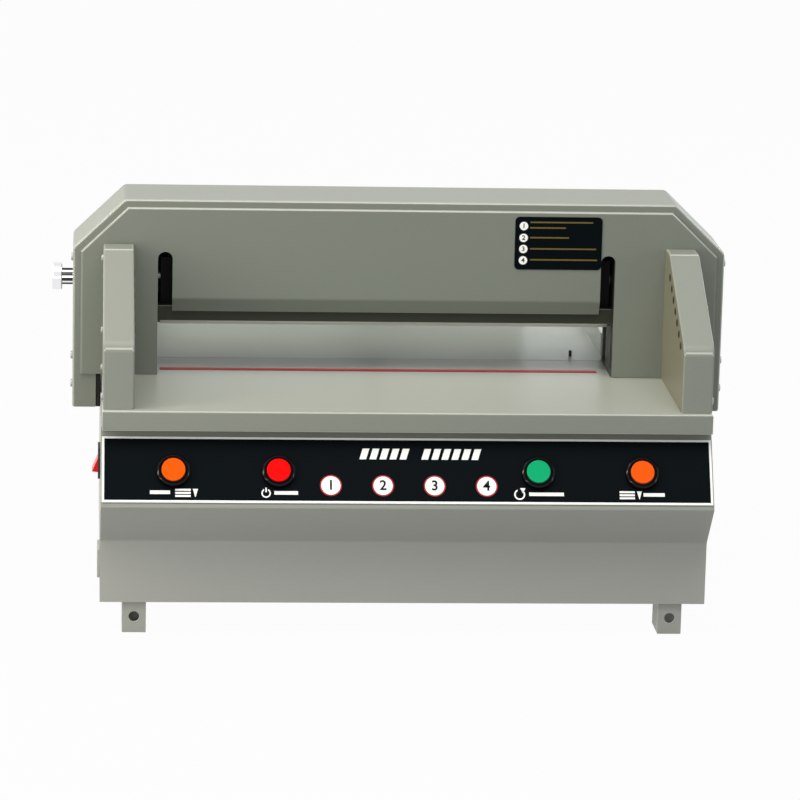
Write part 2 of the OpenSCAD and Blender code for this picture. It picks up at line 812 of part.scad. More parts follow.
// The rack's teeth face the rear, and a gap between two teeth lies level with the shaft
module rack(x0) {
    box(x0, x0 + gear_w, rack_y, rack_root_y + 0.01, rack_z, rack_z + rack_l);
    below = floor((shaft_rise - rack_z) / tooth_pitch - 0.5) - 1;
    above = floor((rack_z + rack_l - shaft_rise) / tooth_pitch - 0.5) - 1;
    for (i = [-below : above])
        translate([x0, rack_root_y + dedendum, shaft_rise + (i + 0.5) * tooth_pitch])
            rotate([90, 0, 90]) linear_extrude(gear_w) polygon([for (q = tooth(tooth_w)) [q.y, -q.x]]);
}

module knife_racks() steel() place() {
    rack(frame_l - gear_off - gear_w);
    rack(frame_r + gear_off);
}

// Shafts and drives

module cross_shaft() steel() place() rod_x(shaft_end_l, shaft_end_r, shaft_y, shaft_rise, shaft_d);

module toothed_wheel(root_r, teeth, outline, bore) difference() {
    union() {
        circle(r = root_r);
        for (i = [0 : teeth - 1])
            rotate(180 + i * 360 / teeth) translate([root_r, 0])
                polygon([for (q = outline) [q.y, q.x]]);
    }
    circle(d = bore);
}

module pinion(x0) translate([x0, shaft_y, shaft_rise]) rotate([90, 0, 90]) linear_extrude(gear_w)
    toothed_wheel(pinion_r - dedendum, pinion_teeth, pinion_tooth, shaft_d + 2 * run_gap);

// A wheel's tooth as [across, out], from a little inside the root circle to its tip
root_sink = 1;
tip_relief = 0.3;
pinion_tooth = let (
    half = tooth_w / 2,
    out = addendum * tan(flank_angle),
    in = dedendum * tan(flank_angle),
    tip = dedendum + addendum - tip_relief
) [[-half - in, -root_sink], [half + in, -root_sink], [half - out, tip], [-half + out, tip]];

module rack_pinions() steel() place() {
    pinion(frame_l - gear_off - gear_w);
    pinion(frame_r + gear_off);
}

sprocket_tooth_h = 3;
sprocket_root = sprocket_d / 2 - sprocket_tooth_h;
sprocket_tooth = [[-2, -root_sink], [2, -root_sink], [0.8, sprocket_tooth_h], [-0.8, sprocket_tooth_h]];

module sprocket(z, bore) translate([chain_x, shaft_y, z]) rotate([90, 0, 90]) linear_extrude(chain_w)
    toothed_wheel(sprocket_root, sprocket_teeth, sprocket_tooth, bore);

hub_d = 24;
hub_l = 2;
module shaft_sprocket() steel() place() difference() {
    union() {
        sprocket(shaft_rise, shaft_d - 1);
        rod_x(chain_x - hub_l, chain_x + chain_w, shaft_y, shaft_rise, hub_d);
    }
    rod_x(chain_x - hub_l - past, chain_x + chain_w + past, shaft_y, shaft_rise, shaft_d + 2 * run_gap);
}

// The motor's output shaft and its sprocket are one piece
module motor_sprocket() steel() place() {
    sprocket(-motor_drop, shaft_d - 1);
    rod_x(throat_r - output_seat, shaft_end_r, shaft_y, -motor_drop, shaft_d);
}

module loop(radius, length) {
    circle(r = radius);
    translate([0, length]) circle(r = radius);
    translate([-radius, 0]) square([2 * radius, length]);
}

module drive_chain() dark_steel() place()
    translate([chain_x, shaft_y, -motor_drop]) rotate([90, 0, 90]) linear_extrude(chain_w) difference() {
        loop(sprocket_d / 2 + 0.5 + chain_t, shaft_rise + motor_drop);
        loop(sprocket_d / 2 + 0.5, shaft_rise + motor_drop);
    }

module knife_gearmotor() color([0.3, 0.33, 0.36]) place() difference() {
    union() {
        box(throat_r - gearbox_l, throat_r, shaft_y - gearbox_h / 2, shaft_y + gearbox_h / 2,
            -motor_drop - gearbox_h / 2, -motor_drop + gearbox_h / 2);
        rod_x(throat_r - gearbox_l - motor_l, throat_r - gearbox_l, shaft_y, -motor_drop, motor_d);
    }
    rod_x(throat_r - output_seat - 0.5, throat_r + past, shaft_y, -motor_drop, shaft_d + 2 * run_gap);
}

// Clamp

module clamp_beam() dark_steel() place() difference() {
    union() {
        box(throat_l + near_gap, throat_r - near_gap, clamp_y, clamp_back, clamp_rise, clamp_rise + clamp_h);
        box(frame_l - arm_off, frame_r + arm_off, arm_y, clamp_back, arm_z, arm_z + arm_h);
    }
    for (x = [frame_l - screw_off, frame_r + screw_off])
        rod_z(x, screw_y, arm_z - past, arm_z + arm_h + past, screw_d + 2 * near_gap);
}

nut_d = 18;
nut_h = 8;
module clamp_nuts() color([0.72, 0.55, 0.25]) place()
    for (x = [frame_l - screw_off, frame_r + screw_off])
        difference() {
            rod_z(x, screw_y, arm_z + arm_h, arm_z + arm_h + nut_h, nut_d);
            rod_z(x, screw_y, arm_z + arm_h - past, arm_z + arm_h + nut_h + past, screw_d + 2 * run_gap);
        }

module clamp_screw(x) steel() place() {
    rod_z(x, screw_y, bearing_low_z + bearing_t + near_gap, bearing_top_z - near_gap, screw_d);
    rod_z(x, screw_y, bearing_low_z + 1, bearing_top_z + bearing_t - 1, journal_d);
    rod_z(x, screw_y, belt_z, belt_z + belt_w, pulley_d);
}

module left_clamp_screw() clamp_screw(frame_l - screw_off);
module right_clamp_screw() clamp_screw(frame_r + screw_off);

module screw_bearings() steel() place()
    for (side = [-1, 1], z = [bearing_low_z, bearing_top_z])
        difference() {
            x0 = side < 0 ? frame_l - arm_off : frame_r;
            x = side < 0 ? frame_l - screw_off : frame_r + screw_off;
            box(x0, x0 + arm_off, screw_y - bearing_w / 2, screw_y + bearing_w / 2, z, z + bearing_t);
            rod_z(x, screw_y, z - past, z + bearing_t + past, journal_d + 2 * run_gap);
        }

module clamp_belt() black() place()
    translate([frame_r + screw_off, screw_y, belt_z]) rotate([0, 0, 90]) linear_extrude(belt_w) difference() {
        span = frame_r - frame_l + 2 * screw_off;
        loop(pulley_d / 2 + near_gap + belt_t, span);
        loop(pulley_d / 2 + near_gap, span);
    }

// The clamp motor hangs under the tables on four posts, and its pulley runs inside the belt
motor_shaft_d = 8;
post_x = 14;
post_y = 18;
module clamp_motor() color([0.3, 0.33, 0.36]) place() difference() {
    union() {
        rod_z(clamp_motor_x, screw_y, clamp_motor_z - clamp_motor_l, clamp_motor_z, clamp_motor_d);
        for (x = [-post_x, post_x], y = [-post_y, post_y])
            rod_z(clamp_motor_x + x, screw_y + y, clamp_motor_z, -table_t, 6);
    }
    rod_z(clamp_motor_x, screw_y, clamp_motor_z - 12, clamp_motor_z + past, motor_shaft_d + 2 * run_gap);
}

module motor_pulley() steel() place() {
    rod_z(clamp_motor_x, screw_y, belt_z, belt_z + belt_w, pulley_d);
    rod_z(clamp_motor_x, screw_y, clamp_motor_z - 11.5, belt_z + belt_w, motor_shaft_d);
}

// Controls

module push_button() {
    translate([0, 0, button_rest]) cylinder(d = button_d, h = button_h);
    translate([0, 0, -neck_depth - stem_end]) cylinder(d = stem_d, h = neck_depth + stem_end + button_rest);
}

module left_cut_button() color([0.95, 0.42, 0.05]) place() at_button(-outer_button_x) push_button();
module right_cut_button() color([0.95, 0.42, 0.05]) place() at_button(outer_button_x) push_button();
module reset_button() color([0.1, 0.6, 0.35]) place() at_button(inner_button_x) push_button();
module power_lamp() color([0.85, 0.08, 0.08]) place() at_button(-inner_button_x) push_button();

module button_bezels() black() place() at_all_buttons() difference() {
    union() {
        translate([0, 0, plate_t]) cylinder(d = bezel_d, h = bezel_rise);
        translate([0, 0, -neck_depth]) cylinder(d = panel_hole - 0.4, h = neck_depth + plate_t + 0.5);
    }
    translate([0, 0, plate_t + bezel_floor]) cylinder(d = button_d + 2 * near_gap, h = bezel_rise);
    translate([0, 0, -neck_depth - past]) cylinder(d = stem_d + 2 * slide_gap, h = neck_depth + bezel_rise);
}

module switch_blocks() black() place() at_all_buttons() difference() {
    translate([-block_s / 2, -block_s / 2, -neck_depth - block_depth]) cube([block_s, block_s, block_depth]);
    translate([0, 0, -neck_depth - stem_end - button_travel - stem_room])
        cylinder(d = stem_d + 2, h = stem_end + button_travel + stem_room + past);
}

module at_rocker() translate([-base_w / 2, rocker_y, -rocker_drop]) children();

// The frame's body is open towards the outside, and its side walls hold the rocker's pins
module rocker_frame() black() place() at_rocker() difference() {
    inner_w = rocker_w + 2 * near_gap;
    inner_h = rocker_h + 4;
    body_w = inner_w + 2 * rocker_wall - 0.7;
    body_h = inner_h + 2 * rocker_wall - 4.2;
    union() {
        translate([-rocker_proud, -rocker_frame_w / 2, -rocker_frame_h / 2])
            cube([rocker_proud, rocker_frame_w, rocker_frame_h]);
        translate([0, -body_w / 2, -body_h / 2]) cube([rocker_body, body_w, body_h]);
    }
    translate([-rocker_proud - past, -inner_w / 2, -inner_h / 2])
        cube([rocker_proud + past + rocker_body - 3, inner_w, inner_h]);
    translate([rocker_pivot, rocker_frame_w / 2 + past, 0]) rotate([90, 0, 0])
        cylinder(d = rocker_pin_d + 2 * run_gap, h = rocker_frame_w + 2 * past);
}

rocker_pivot = 3.5;
module power_rocker() color([0.8, 0.05, 0.05]) place() at_rocker() translate([rocker_pivot, 0, 0]) {
    rotate([90, 0, 0]) translate([0, 0, -rocker_w / 2]) linear_extrude(rocker_w)
        polygon([[4, -8], [4, 8], [-5, rocker_h / 2], [-6, 5],
            [-11.9, 1.75 - rocker_h / 2], [-10.5, 1.5 - rocker_h / 2], [-4, 0.75 - rocker_h / 2]]);
    translate([0, rocker_w / 2 + 2, 0]) rotate([90, 0, 0]) cylinder(d = rocker_pin_d, h = rocker_w + 4);
}

knob_y = hood_front + 68;
knob_stem_d = 10;
knob_inside = 26;
module depth_knob() color([0.85, 0.86, 0.88]) place() {
    rod_x(x_min, x_min + knob_l, knob_y, knob_rise, knob_d);
    rod_x(x_min, -hood_w / 2 - near_gap, knob_y, knob_rise, collar_d);
    rod_x(x_min, -hood_w / 2 + knob_inside, knob_y, knob_rise, knob_stem_d);
    rod_x(-hood_w / 2 + sheet + near_gap, -hood_w / 2 + sheet + 6, knob_y, knob_rise, collar_d);
}

// Rear of the machine

gauge_block_z = gauge_h - gauge_block_h;
module back_gauge() steel() place() difference() {
    union() {
        box(throat_l + gauge_side, throat_l + gauge_side + gauge_w, gauge_y, gauge_y + gauge_t, 0.5, gauge_h);
        box(throat_mid - gauge_block_w / 2, throat_mid + gauge_block_w / 2,
            gauge_y, gauge_y + gauge_t + gauge_block_d, gauge_block_z, gauge_h);
    }
    rod_y(throat_mid, gauge_y - past, gauge_y + gauge_t + gauge_block_d + past,
        rail_rise, rail_d + 2 * run_gap);
    rod_x(throat_mid + gauge_block_w / 2 - lock_seat, throat_mid + gauge_block_w / 2 + past,
        lock_y, lock_z, lock_stem_d + 2 * run_gap);
}

lock_y = gauge_y + gauge_t + gauge_block_d / 2;
lock_z = gauge_h - lock_d / 2 - 1;
lock_seat = 12;
module gauge_lock_knob() black() place() {
    x0 = throat_mid + gauge_block_w / 2;
    rod_x(x0 + near_gap, x0 + near_gap + lock_l, lock_y, lock_z, lock_d);
    rod_x(x0 - lock_seat + 0.5, x0 + lock_l, lock_y, lock_z, lock_stem_d);
}

module gauge_rail() steel() place() {
    rod_y(throat_mid, hood_back, rail_post_y + 1, rail_rise, rail_d);
    box(throat_mid - rail_post_w / 2, throat_mid + rail_post_w / 2,
        rail_post_y, rail_post_y + rail_post_d, 0, rail_rise + rail_d / 2 + 2);
}

module side_guides() steel() place()
    for (x = [throat_l - guide_w, throat_r])
        box(x, x + guide_w, hood_back + 10, rail_post_y, 0, guide_h);

module rear_cover() color([0.75, 0.82, 0.85, 0.4]) place() difference() {
    top_z = cover_h - cover_t;
    union() {
        difference() {
            box(-cover_w / 2, cover_w / 2, cover_front, cover_back, near_gap, cover_h);
            box(-cover_w / 2 + cover_t, cover_w / 2 - cover_t,
                cover_front - past, cover_back - cover_t, -past, top_z);
        }
        for (x = [-hinge_x, hinge_x]) {
            rod_x(x - knuckle_w / 2, x + knuckle_w / 2, hinge_y, hinge_rise, barrel_d);
            box(x - knuckle_w / 2, x + knuckle_w / 2, hinge_y, cover_front + past, top_z, cover_h);
        }
    }
    for (x = [-hinge_x, hinge_x])
        rod_x(x - hinge_w, x + hinge_w, hinge_y, hinge_rise, pin_d + 2 * run_gap);
}

// Each hinge has a leaf on the hood, two knuckles and the pin between them
module cover_hinges() steel() place()
    for (x = [-hinge_x, hinge_x]) {
        rod_x(x - hinge_w / 2, x + hinge_w / 2, hinge_y, hinge_rise, pin_d);
        box(x - hinge_w / 2, x + hinge_w / 2, hood_back, hood_back + leaf_t,
            hinge_rise - leaf_low, hinge_rise - leaf_low + leaf_h);
        outer_w = (hinge_w - knuckle_w) / 2 - near_gap;
        for (x0 = [x - hinge_w / 2, x + hinge_w / 2 - outer_w]) {
            rod_x(x0, x0 + outer_w, hinge_y, hinge_rise, barrel_d);
            box(x0, x0 + outer_w, hood_back, hinge_y, hinge_rise - 3, hinge_rise + 3);
        }
    }

// A board on four standoffs with its supply and a row of relays
module control_board() color([0.1, 0.32, 0.18]) place()
    translate([throat_l + board_side, frame_foot_front + board_front, -base_h + sheet]) {
        for (x = [standoff_d, board_w - standoff_d], y = [standoff_d, board_d - standoff_d])
            rod_z(x, y, 0, standoff_h, standoff_d);
        top = standoff_h + board_t;
        box(0, board_w, 0, board_d, standoff_h, top);
        box(part_edge, part_edge + supply_w, part_edge, part_edge + supply_d, top, top + supply_h);
        for (i = [0 : 3])
            translate([part_edge + supply_w + relay_pitch * (i + 1), part_edge, top])
                cube([relay_w, relay_d, relay_h]);
    }

module power_inlet() black() place() difference() {
    union() {
        box(inlet_x - inlet_w / 2, inlet_x + inlet_w / 2, base_d, base_d + 3,
            inlet_z - inlet_h / 2, inlet_z + inlet_h / 2);
        box(inlet_x - inlet_w / 2 + 4.5, inlet_x + inlet_w / 2 - 4.5, base_d - 22, base_d + 3,
            inlet_z - inlet_h / 2 + 2.5, inlet_z + inlet_h / 2 - 2.5);
    }
    box(inlet_x - 12, inlet_x + 12, base_d - 16, base_d + 3 + past, inlet_z - 8, inlet_z + 8);
}

// Screw heads on the outsides of the hood and of the wings, as [y, z]
hood_screws = [[hood_front + 10, hood_shoulder - 11], [hood_front + 10, 17], [hood_front + 10, -12]];
wing_screws = [[plate_y - 12, wing_h - 12], [plate_y - 12, 48], [plate_y - 12, 10], [wing_setback + 12, 10]];
module casing_screws() steel() place() {
    for (q = hood_screws) {
        rod_x(-hood_w / 2 - head_h, -hood_w / 2, q.x, q.y, head_d);
        rod_x(hood_w / 2, hood_w / 2 + head_h, q.x, q.y, head_d);
    }
    for (q = wing_screws) {
        rod_x(-wing_x - wing_w - head_h, -wing_x - wing_w, q.x, q.y, head_d);
        rod_x(wing_x + wing_w, wing_x + wing_w + head_h, q.x, q.y, head_d);
    }
}

bottom_plate();
left_side_frame();
right_side_frame();
bridge_beam();
left_side_panel();
right_side_panel();
front_cover();
rear_panel();
control_plate();
front_left_foot();
front_right_foot();
rear_left_foot();
rear_right_foot();
front_table();
rear_table();
cutting_stick();
left_wing();
right_wing();
left_light_barrier();
right_light_barrier();
hood_shell();
hood_front_plate();
hood_rear_plate();
knife_carrier();
knife_blade();
knife_bolts();
knife_racks();
cross_shaft();
rack_pinions();
shaft_sprocket();
drive_chain();
knife_gearmotor();
motor_sprocket();
clamp_beam();
clamp_nuts();
left_clamp_screw();
right_clamp_screw();
screw_bearings();
clamp_belt();
clamp_motor();
motor_pulley();
left_cut_button();
right_cut_button();
reset_button();
power_lamp();
button_bezels();
switch_blocks();
rocker_frame();
power_rocker();
depth_knob();
back_gauge();
gauge_rail();
gauge_lock_knob();
side_guides();
rear_cover();
cover_hinges();
side_vents();
control_board();
power_inlet();
casing_screws();
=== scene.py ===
import json
import math
import bmesh
import bpy
from mathutils import Matrix, Vector


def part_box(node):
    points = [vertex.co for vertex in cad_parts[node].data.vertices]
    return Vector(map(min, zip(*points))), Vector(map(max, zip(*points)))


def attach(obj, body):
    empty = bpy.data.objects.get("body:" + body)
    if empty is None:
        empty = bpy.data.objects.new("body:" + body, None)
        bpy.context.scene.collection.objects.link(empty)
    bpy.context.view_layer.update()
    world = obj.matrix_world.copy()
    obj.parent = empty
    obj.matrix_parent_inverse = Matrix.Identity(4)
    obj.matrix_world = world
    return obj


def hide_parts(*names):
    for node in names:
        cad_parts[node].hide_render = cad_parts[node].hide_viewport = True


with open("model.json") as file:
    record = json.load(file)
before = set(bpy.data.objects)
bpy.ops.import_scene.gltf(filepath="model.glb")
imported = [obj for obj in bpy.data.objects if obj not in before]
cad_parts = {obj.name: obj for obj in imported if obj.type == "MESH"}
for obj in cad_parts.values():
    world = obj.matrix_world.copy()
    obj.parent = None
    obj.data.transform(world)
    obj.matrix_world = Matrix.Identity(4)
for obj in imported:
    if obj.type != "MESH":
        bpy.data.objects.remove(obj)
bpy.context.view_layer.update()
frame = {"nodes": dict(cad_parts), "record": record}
nodes = frame["nodes"]
mm = 0.001
print("frame loaded with", len(nodes), "nodes")

# every place below is in mm from the middle of the table's front top edge
tableLow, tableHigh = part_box("front_table")
edgeMiddle = Vector(((tableLow.x + tableHigh.x) / 2, tableLow.y, tableHigh.z))


def at(x, y, z):
    return edgeMiddle + Vector((x, y, z)) * mm


# the slanted panel: X along it, Y up it, Z out of it
panelSet = {"top": (0, 19, -20), "nose": (0, -23.8, -90.1), "thick": 1.5}
panelUp = (Vector(panelSet["top"]) - Vector(panelSet["nose"])).normalized()
panelOut = Vector((1, 0, 0)).cross(panelUp)
panelBase = Matrix.Translation(at(*panelSet["top"])) @ Matrix((
    (1, panelUp.x, panelOut.x, 0),
    (0, panelUp.y, panelOut.y, 0),
    (0, panelUp.z, panelOut.z, 0),
    (0, 0, 0, 1)))
machineBase = Matrix.Translation(edgeMiddle)


# tools of the bench

def clearSelection():
    if bpy.context.object and bpy.context.object.mode != "OBJECT":
        bpy.ops.object.mode_set(mode="OBJECT")
    bpy.ops.object.select_all(action="DESELECT")


def takeUp(piece):
    clearSelection()
    bpy.context.view_layer.objects.active = piece
    piece.select_set(True)


def settle(name, base):  # names the new primitive and puts its place into its mesh
    piece = bpy.context.object
    piece.name = name
    piece.data.name = name
    bpy.ops.object.transform_apply(location=True, rotation=True, scale=True)
    piece.matrix_world = base
    bpy.ops.object.transform_apply(location=True, rotation=True, scale=True)
    return piece


def startBlock(name, low, high, base=machineBase):
    clearSelection()
    a, b = Vector(low) * mm, Vector(high) * mm
    bpy.ops.mesh.primitive_cube_add(size=1, location=(a + b) / 2)
    bpy.context.object.scale = b - a
    return settle(name, base)


def startRound(name, foot, axis, radius, length, sides=48, base=machineBase):
    clearSelection()
    along = Vector(axis).normalized()
    turn = Vector((0, 0, 1)).rotation_difference(along).to_euler()
    bpy.ops.mesh.primitive_cylinder_add(vertices=sides, radius=radius * mm, depth=length * mm,
                                        location=(Vector(foot) + along * length / 2) * mm, rotation=turn)
    return settle(name, base)


def spot(item):  # middle of a vertex, an edge or a face, in mm
    if isinstance(item, bmesh.types.BMVert):
        point = item.co
    elif isinstance(item, bmesh.types.BMEdge):
        point = (item.verts[0].co + item.verts[1].co) / 2
    else:
        point = item.calc_center_median()
    return (point - edgeMiddle) / mm


def runs(edge):  # direction of an edge, without its sign
    line = (edge.verts[1].co - edge.verts[0].co).normalized()
    return Vector((abs(line.x), abs(line.y), abs(line.z)))


def pick(piece, kind, test):  # leaves the piece in edit mode with what passes the test selected
    takeUp(piece)
    bpy.ops.object.mode_set(mode="EDIT")
    bpy.context.tool_settings.mesh_select_mode = (kind == "verts", kind == "edges", kind == "faces")
    mesh = bmesh.from_edit_mesh(piece.data)
    mesh.normal_update()
    chosen = [item for item in getattr(mesh, kind) if test(item)]
    for group in (mesh.verts, mesh.edges, mesh.faces):
        for item in group:
            item.select = False
    for item in chosen:
        item.select_set(True)
    bmesh.update_edit_mesh(piece.data)
    return len(chosen)


def near(value, target, room=0.2):
    return abs(value - target) < room


def push(x, y, z):  # extrudes what is selected by so many mm
    bpy.ops.mesh.extrude_region_move(TRANSFORM_OT_translate={"value": (x * mm, y * mm, z * mm)})


def shift(x, y, z):
    bpy.ops.transform.translate(value=(x * mm, y * mm, z * mm))


def roundOff(piece, test, width, segments=3):
    if pick(piece, "edges", test):
        bpy.ops.mesh.bevel(offset=width * mm, segments=segments, profile=0.5, affect="EDGES",
                           clamp_overlap=True)
    clearSelection()


def addModifier(piece, kind, **values):
    takeUp(piece)
    modifier = piece.modifiers.new(kind.lower(), kind)
    for key, value in values.items():
        setattr(modifier, key, value)
    bpy.ops.object.modifier_apply(modifier=modifier.name)


def easeEdges(piece, width, segments=2, angle=35):
    addModifier(piece, "BEVEL", width=width * mm, segments=segments, limit_method="ANGLE",
                angle_limit=math.radians(angle), use_clamp_overlap=True)


def giveThickness(piece, wall):
    addModifier(piece, "SOLIDIFY", thickness=wall * mm, offset=-1, use_even_offset=True)


def cutWith(piece, *cutters):
    for cutter in cutters:
        addModifier(piece, "BOOLEAN", object=cutter, operation="DIFFERENCE", solver="EXACT")
        bpy.data.objects.remove(cutter)


def joinAll(name, parts):
    takeUp(parts[0])
    for part in parts[1:]:
        part.select_set(True)
    bpy.ops.object.join()
    piece = bpy.context.object
    piece.name = name
    piece.data.name = name
    return piece


def mergePoints(piece, gap):  # leaves the piece in edit mode with all of it selected
    pick(piece, "verts", lambda v: True)
    bpy.ops.mesh.remove_doubles(threshold=gap * mm)


def copyNode(node):  # a merged copy of a CAD node's mesh, named after it, to be shaped further
    first, *others = node.split("_")
    name = first + "".join(word.capitalize() for word in others)
    piece = bpy.data.objects.new(name, nodes[node].data.copy())
    bpy.context.scene.collection.objects.link(piece)
    piece.data.materials.clear()
    mergePoints(piece, 0.01)
    bpy.ops.mesh.dissolve_limited(angle_limit=math.radians(0.5))
    clearSelection()
    takeUp(piece)
    if piece.data.has_custom_normals:
        bpy.ops.mesh.customdata_custom_splitnormals_clear()
    return piece


def coatFaces(piece, index, test):  # gives the faces that pass the test another of the piece's finishes
    if pick(piece, "faces", test):
        piece.active_material_index = index
        bpy.ops.object.material_slot_assign()
    clearSelection()


def finishPiece(piece, body, slotName, material, *standsFor, smooth=32, second=None, where=None):
    takeUp(piece)
    bpy.ops.object.shade_smooth_by_angle(angle=math.radians(smooth))
    addModifier(piece, "WEIGHTED_NORMAL", keep_sharp=True, weight=60)
    if material:
        piece.data.materials.clear()
        piece.data.materials.append(material)
    if second:
        piece.data.materials.append(second)
        coatFaces(piece, 1, where)
    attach(piece, body)
    if standsFor:
        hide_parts(*standsFor)


# camera, floor and light

cameraSet = {"spot": (-316.6, -4061.95, 948.54), "yaw": 0.0794, "pitch": -0.2253, "roll": 0.025,
             "lens": 193.7, "sensor": 36, "shiftX": -0.02104, "shiftY": -0.00224, "farEnd": 100}


def makeCamera():
    yaw, pitch, roll = cameraSet["yaw"], cameraSet["pitch"], cameraSet["roll"]
    ahead = Vector((math.sin(yaw), math.cos(yaw), 0))
    right = Vector((math.cos(yaw), -math.sin(yaw), 0))
    up = Vector((0, 0, 1))
    look = ahead * math.cos(pitch) + up * math.sin(pitch)
    head = up * math.cos(pitch) - ahead * math.sin(pitch)
    side = right * math.cos(roll) + head * math.sin(roll)
    crown = head * math.cos(roll) - right * math.sin(roll)
    bpy.ops.object.camera_add()
    camera = bpy.context.object
    camera.data.lens = cameraSet["lens"]
    camera.data.sensor_width = cameraSet["sensor"]
    camera.data.shift_x = cameraSet["shiftX"]
    camera.data.shift_y = cameraSet["shiftY"]
    camera.data.clip_end = cameraSet["farEnd"]
    turn = Matrix((side, crown, -look)).transposed().to_4x4()
    camera.matrix_world = Matrix.Translation(at(*cameraSet["spot"])) @ turn
    bpy.context.scene.camera = camera


clearSelection()
makeCamera()
bpy.context.scene.view_settings.view_transform = "Standard"

lightAim = (0, 180, 0)
lightSet = {
    "over": {"spot": (-250, -550, 1950), "size": (2.6, 1.3), "watts": 46, "colour": (1.0, 0.97, 0.92)},
    "front": {"spot": (-800, -1050, 0), "size": (1.4, 0.1), "watts": 3.2, "colour": (0.97, 1.0, 0.98)},
    "left": {"spot": (-2000, -700, 600), "size": (0.3, 2.0), "watts": 27, "colour": (1.0, 0.9, 0.74)},
    "right": {"spot": (1900, -900, 350), "size": (0.25, 1.2), "watts": 4, "colour": (0.85, 0.93, 1.0)},
    "leftBack": {"spot": (-1800, 1900, 600), "size": (1.0, 1.4), "watts": 16, "colour": (1.0, 0.97, 0.9)},
    "rightBack": {"spot": (1800, 1900, 600), "size": (1.0, 1.4), "watts": 16, "colour": (0.95, 0.98, 1.0)},
}


def makeLight(name, values):
    bpy.ops.object.light_add(type="AREA")
    lamp = bpy.context.object
    lamp.name = name + "Light"
    lamp.data.shape = "RECTANGLE"
    lamp.data.size, lamp.data.size_y = values["size"]
    lamp.data.energy = values["watts"]
    lamp.data.color = values["colour"]
    place = at(*values["spot"])
    aim = at(*lightAim) - place
    lamp.visible_camera = False
    lamp.matrix_world = Matrix.Translation(place) @ aim.to_track_quat("-Z", "Y").to_matrix().to_4x4()


for lightName, lightValues in lightSet.items():
    makeLight(lightName, lightValues)

stageSet = {"ambient": (0.95, 0.98, 1.0), "ambientLevel": 0.34, "floor": (0.32, 0.32, 0.315),
            "floorSize": 40, "shadowShare": 0.03}


def setInputs(tree, node, inputs):  # sets plain values, and links the outputs of other nodes
    for title, value in inputs.items():
        if isinstance(value, bpy.types.NodeSocket):
            tree.links.new(value, node.inputs[title])
        else:
            node.inputs[title].default_value = value


def addNode(tree, kind, inputs=None, **settings):
    node = tree.nodes.new("ShaderNode" + kind)
    for key, value in settings.items():
        setattr(node, key, value)
    setInputs(tree, node, inputs or {})
    return node


def seenDirectly(tree):  # 1 for rays from the camera, from gloss and through glass
    rays = addNode(tree, "LightPath").outputs
    seen = rays["Is Camera Ray"]
    for title in ("Is Glossy Ray", "Is Transmission Ray"):
        seen = addNode(tree, "Math", {0: seen, 1: rays[title]}, operation="MAXIMUM").outputs[0]
    return seen


def makeWorld():
    world = bpy.data.worlds.new("studioWorld")
    bpy.context.scene.world = world
    world.use_nodes = True
    tree = world.node_tree
    tree.nodes.clear()
    room = addNode(tree, "Background", {"Color": (*stageSet["ambient"], 1),
                                        "Strength": stageSet["ambientLevel"]})
    white = addNode(tree, "Background", {"Color": (1, 1, 1, 1), "Strength": 1})
    blend = addNode(tree, "MixShader", {0: seenDirectly(tree), 1: room.outputs[0], 2: white.outputs[0]})
    addNode(tree, "OutputWorld", {0: blend.outputs[0]})


def makeFloor():
    clearSelection()
    bpy.ops.mesh.primitive_plane_add(size=stageSet["floorSize"], location=(0, 0, 0))
    floor = bpy.context.object
    floor.name = "studioFloor"
    material = bpy.data.materials.new("studioFloorPaint")
    material.use_nodes = True
    tree = material.node_tree
    tree.nodes.clear()
    dull = addNode(tree, "BsdfDiffuse", {"Color": (*stageSet["floor"], 1)})
    bright = addNode(tree, "Emission", {"Color": (1, 1, 1, 1)})
    share = addNode(tree, "Math", {0: seenDirectly(tree), 1: 1 - stageSet["shadowShare"]},
                    operation="MULTIPLY")
    blend = addNode(tree, "MixShader", {0: share.outputs[0], 1: dull.outputs[0], 2: bright.outputs[0]})
    addNode(tree, "OutputMaterial", {0: blend.outputs[0]})
    floor.data.materials.append(material)


makeWorld()
makeFloor()
print("camera, floor and light are up")


# finishes

def newGroup(name, inputs, outputs):
    group = bpy.data.node_groups.new(name, "ShaderNodeTree")
    kinds = {"colour": "NodeSocketColor", "value": "NodeSocketFloat", "vector": "NodeSocketVector"}
    for title, kind in inputs:
        group.interface.new_socket(name=title, in_out="INPUT", socket_type=kinds[kind])
    for title, kind in outputs:
        group.interface.new_socket(name=title, in_out="OUTPUT", socket_type=kinds[kind])
    return group, group.nodes.new("NodeGroupInput"), group.nodes.new("NodeGroupOutput")


def noiseNode(tree, vector, scale, detail=2.0, rough=0.5):
    noise = addNode(tree, "TexNoise", {"Vector": vector, "Scale": scale, "Detail": detail, "Roughness": rough})
    return noise.outputs["Fac"]


def spread(tree, value, low, high, toLow=0.0, toHigh=1.0):
    node = addNode(tree, "MapRange", {"Value": value, "From Min": low, "From Max": high,
                                      "To Min": toLow, "To Max": toHigh})
    return node.outputs["Result"]


def mixColour(tree, factor, first, second):
    first, second = ((*c, 1) if isinstance(c, tuple) else c for c in (first, second))
    return addNode(tree, "Mix", {0: factor, 6: first, 7: second}, data_type="RGBA").outputs[2]


glossInputs = [("Low Gloss", "value"), ("High Gloss", "value")]
coatOutputs = [("Colour", "colour"), ("Roughness", "value"), ("Height", "value")]


def varyGloss(group, given, result, value, low):
    gloss = spread(group, value, low, 0.7, given.outputs["Low Gloss"], given.outputs["High Gloss"])
    group.links.new(gloss, result.inputs["Roughness"])


